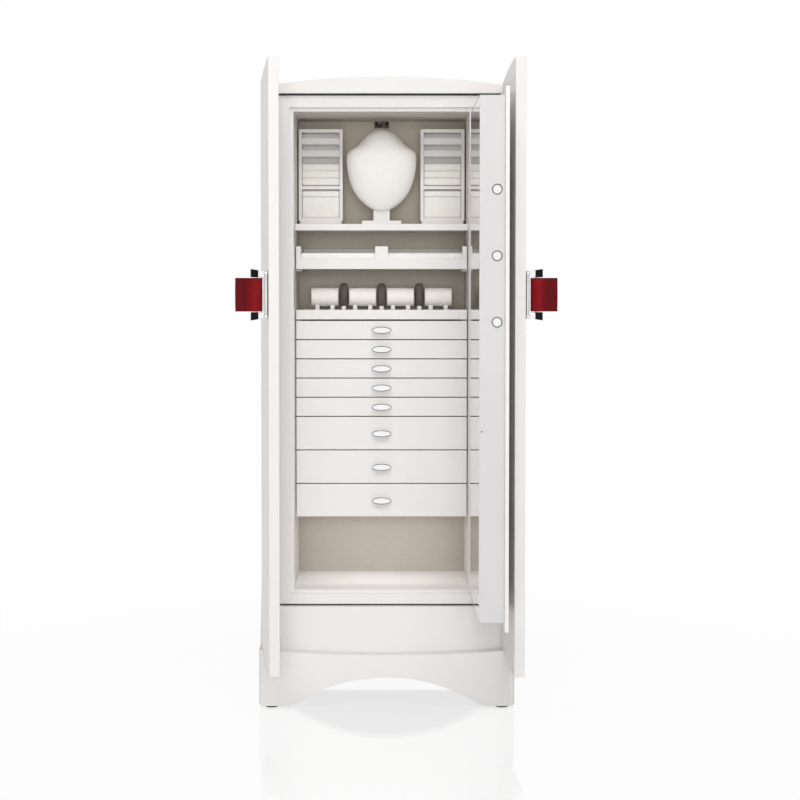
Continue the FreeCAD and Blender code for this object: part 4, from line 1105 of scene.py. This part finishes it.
def makeScrews():
    low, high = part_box("back_panel")
    inset = screw["inset"] * mm
    left, right = low.x + inset, high.x - inset
    bottom, top = low.z + inset, high.z - inset
    corners = [(left, bottom), (right, bottom), (right, top), (left, top)]
    lines = [([Vector((x, high.y, z)) for x, z in corners], True)]
    values = {"Pitch": screw["pitch"], "Head": screw["head"]}
    runNodes("back_screws", lines, screwTree, values, "cabinet")


makeKnobRimReflections()
makeBoltGapShade()
makePin()
makePaintedGapShade()
makeScrews()
print("stage: trim")


# suede liners in the drawers

liner = {
    "left": -244.0, "right": 214.0, "front": 137.0, "back": 351.0, "thick": 6.0, "round": 3.0,
    "crown": 0.6,
}
linerDrop = {6: 83.5, 7: 83.5, 8: 75.9}  # liner's underside below the front's top, in the tall drawers
linerDropSmall = 41.5


def makeLiners():
    width = liner["right"] - liner["left"]
    for number in range(1, drawerCount + 1):
        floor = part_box(f"drawer_{number}")[1].z / mm - linerDrop.get(number, linerDropSmall)
        top = floor + liner["thick"]
        outline = slabOutline(liner["front"], liner["back"], floor, top, liner["round"], liner["crown"])
        bm = bmesh.new()
        softSlab(bm, outline, liner["left"], width, liner["round"], floor)
        pad = newPiece(f"drawer_liner_{number}", bm, creamSuede, f"drawer_set_{number}", "cream_fabric")


makeLiners()
print("stage: drawer liners")


# floor, world, lamps and camera

worldLight = 0.24
studioFloor = {
    "size": 40.0, "near": 0.92, "fade": (0.9, 2.4), "dark": (0.88, 0.88, 0.88), "light": (0.9, 0.9, 0.9),
    "cloud": 1.5, "smear": 3.0, "dull": (0.04, 0.06), "sheen": 1.16,
}
lamps = {  # place, aim, width and height, all in metres, and power
    "front": ((0.0, -8.0, 1.5), (0, 0, 0.95), (2.0, 2.0), 190.0),
    "key": ((0.1, -5.4, 5.0), (0, 0, 0.8), (3.4, 1.8), 135.0),
    "over": ((0, -1.2, 4.4), (0, -0.4, 0.0), (3.0, 2.4), 30.0),
    "left fill": ((-4.5, 3.0, 2.5), (0, 0, 1.0), (3.0, 3.0), 60.0),
    "right fill": ((4.5, 3.0, 2.5), (0, 0, 1.0), (3.0, 3.0), 60.0),
    "low fill": (spot(insideMiddle, 200.0, 518.0), spot(insideMiddle, 200.0, 418.0), (0.42, 0.12), 0.31),
}
view = {
    "place": (-0.0079, -5.4950, 1.2066), "focal": 84.16, "sensor": 36.0, "shiftX": 0.02, "shiftY": -0.06,
    "tilt": 2.143,
}


def makeWorld():
    # white to the eye, to polished faces and through glass, and a dim light on everything else
    world = bpy.data.worlds.new("studio")
    bpy.context.scene.world = world
    world.use_nodes = True
    tree = world.node_tree
    background = tree.nodes["Background"]
    background.inputs["Color"].default_value = (1.0, 1.0, 1.0, 1.0)
    path = tree.nodes.new("ShaderNodeLightPath")
    seen = path.outputs["Is Camera Ray"]
    for kind in ("Is Glossy Ray", "Is Transmission Ray"):
        either = tree.nodes.new("ShaderNodeMath")
        either.operation = "MAXIMUM"
        tree.links.new(seen, either.inputs[0])
        tree.links.new(path.outputs[kind], either.inputs[1])
        seen = either.outputs[0]
    level = tree.nodes.new("ShaderNodeMapRange")
    level.inputs["To Min"].default_value = worldLight
    level.inputs["To Max"].default_value = 1.0
    tree.links.new(seen, level.inputs["Value"])
    tree.links.new(level.outputs["Result"], background.inputs["Strength"])


def makeFloor():
    bm = bmesh.new()
    bmesh.ops.create_grid(bm, x_segments=2, y_segments=2, size=studioFloor["size"])
    mesh = bpy.data.meshes.new("studio_floor")
    bm.to_mesh(mesh)
    bm.free()
    floor = bpy.data.objects.new("studio_floor", mesh)
    bpy.context.collection.objects.link(floor)
    finish = Finish("pale studio floor")
    tree = finish.tree
    tree.nodes.remove(finish.shader)
    colour = finish.mix(finish.grain(studioFloor["cloud"]), studioFloor["dark"], studioFloor["light"])
    matt = finish.add("ShaderNodeBsdfDiffuse", Color=colour)
    smear = finish.ramp(finish.grain(studioFloor["smear"]), *studioFloor["dull"])
    gloss = finish.add("ShaderNodeBsdfGlossy", Color=(1.0, 1.0, 1.0, 1.0), Roughness=smear)
    path = tree.nodes.new("ShaderNodeLightPath")
    far = tree.nodes.new("ShaderNodeVectorMath")
    far.operation = "LENGTH"
    tree.links.new(finish.place, far.inputs[0])
    fade = finish.ramp(far.outputs["Value"], studioFloor["near"], 1.0, *studioFloor["fade"])
    seen = finish.math("MAXIMUM", path.outputs["Is Camera Ray"], path.outputs["Is Glossy Ray"])
    glow = tree.nodes.new("ShaderNodeEmission")
    white = finish.blend(finish.math("MULTIPLY", fade, seen), matt.outputs[0], glow.outputs[0])
    sheen = finish.add("ShaderNodeFresnel", IOR=studioFloor["sheen"])
    shown = finish.blend(sheen.outputs[0], white, gloss.outputs[0])
    tree.links.new(shown, tree.nodes["Material Output"].inputs["Surface"])
    mesh.materials.append(finish.material)


def makeLamp(name, place, aim, size, power):
    lamp = bpy.data.lights.new(name, "AREA")
    lamp.shape = "RECTANGLE"
    lamp.size, lamp.size_y = size
    lamp.energy = power
    holder = bpy.data.objects.new(name, lamp)
    bpy.context.collection.objects.link(holder)
    holder.location = place
    holder.rotation_mode = "QUATERNION"
    holder.rotation_quaternion = (Vector(aim) - Vector(place)).to_track_quat("-Z", "Y")
    holder.visible_camera = False
    holder.visible_glossy = False  # polished faces show the white surroundings, not the lamps


def makeCamera():
    lens = bpy.data.cameras.new("camera")
    lens.lens = view["focal"]
    lens.sensor_width = view["sensor"]
    lens.shift_x = view["shiftX"]
    lens.shift_y = view["shiftY"]
    camera = bpy.data.objects.new("camera", lens)
    bpy.context.collection.objects.link(camera)
    camera.location = view["place"]
    camera.rotation_euler = (math.radians(90 - view["tilt"]), 0.0, 0.0)
    bpy.context.scene.camera = camera


makeWorld()
makeFloor()
for name, (place, aim, size, power) in lamps.items():
    makeLamp(name, place, aim, size, power)
makeCamera()
bpy.context.scene.view_settings.view_transform = "Standard"
print("stage: studio")
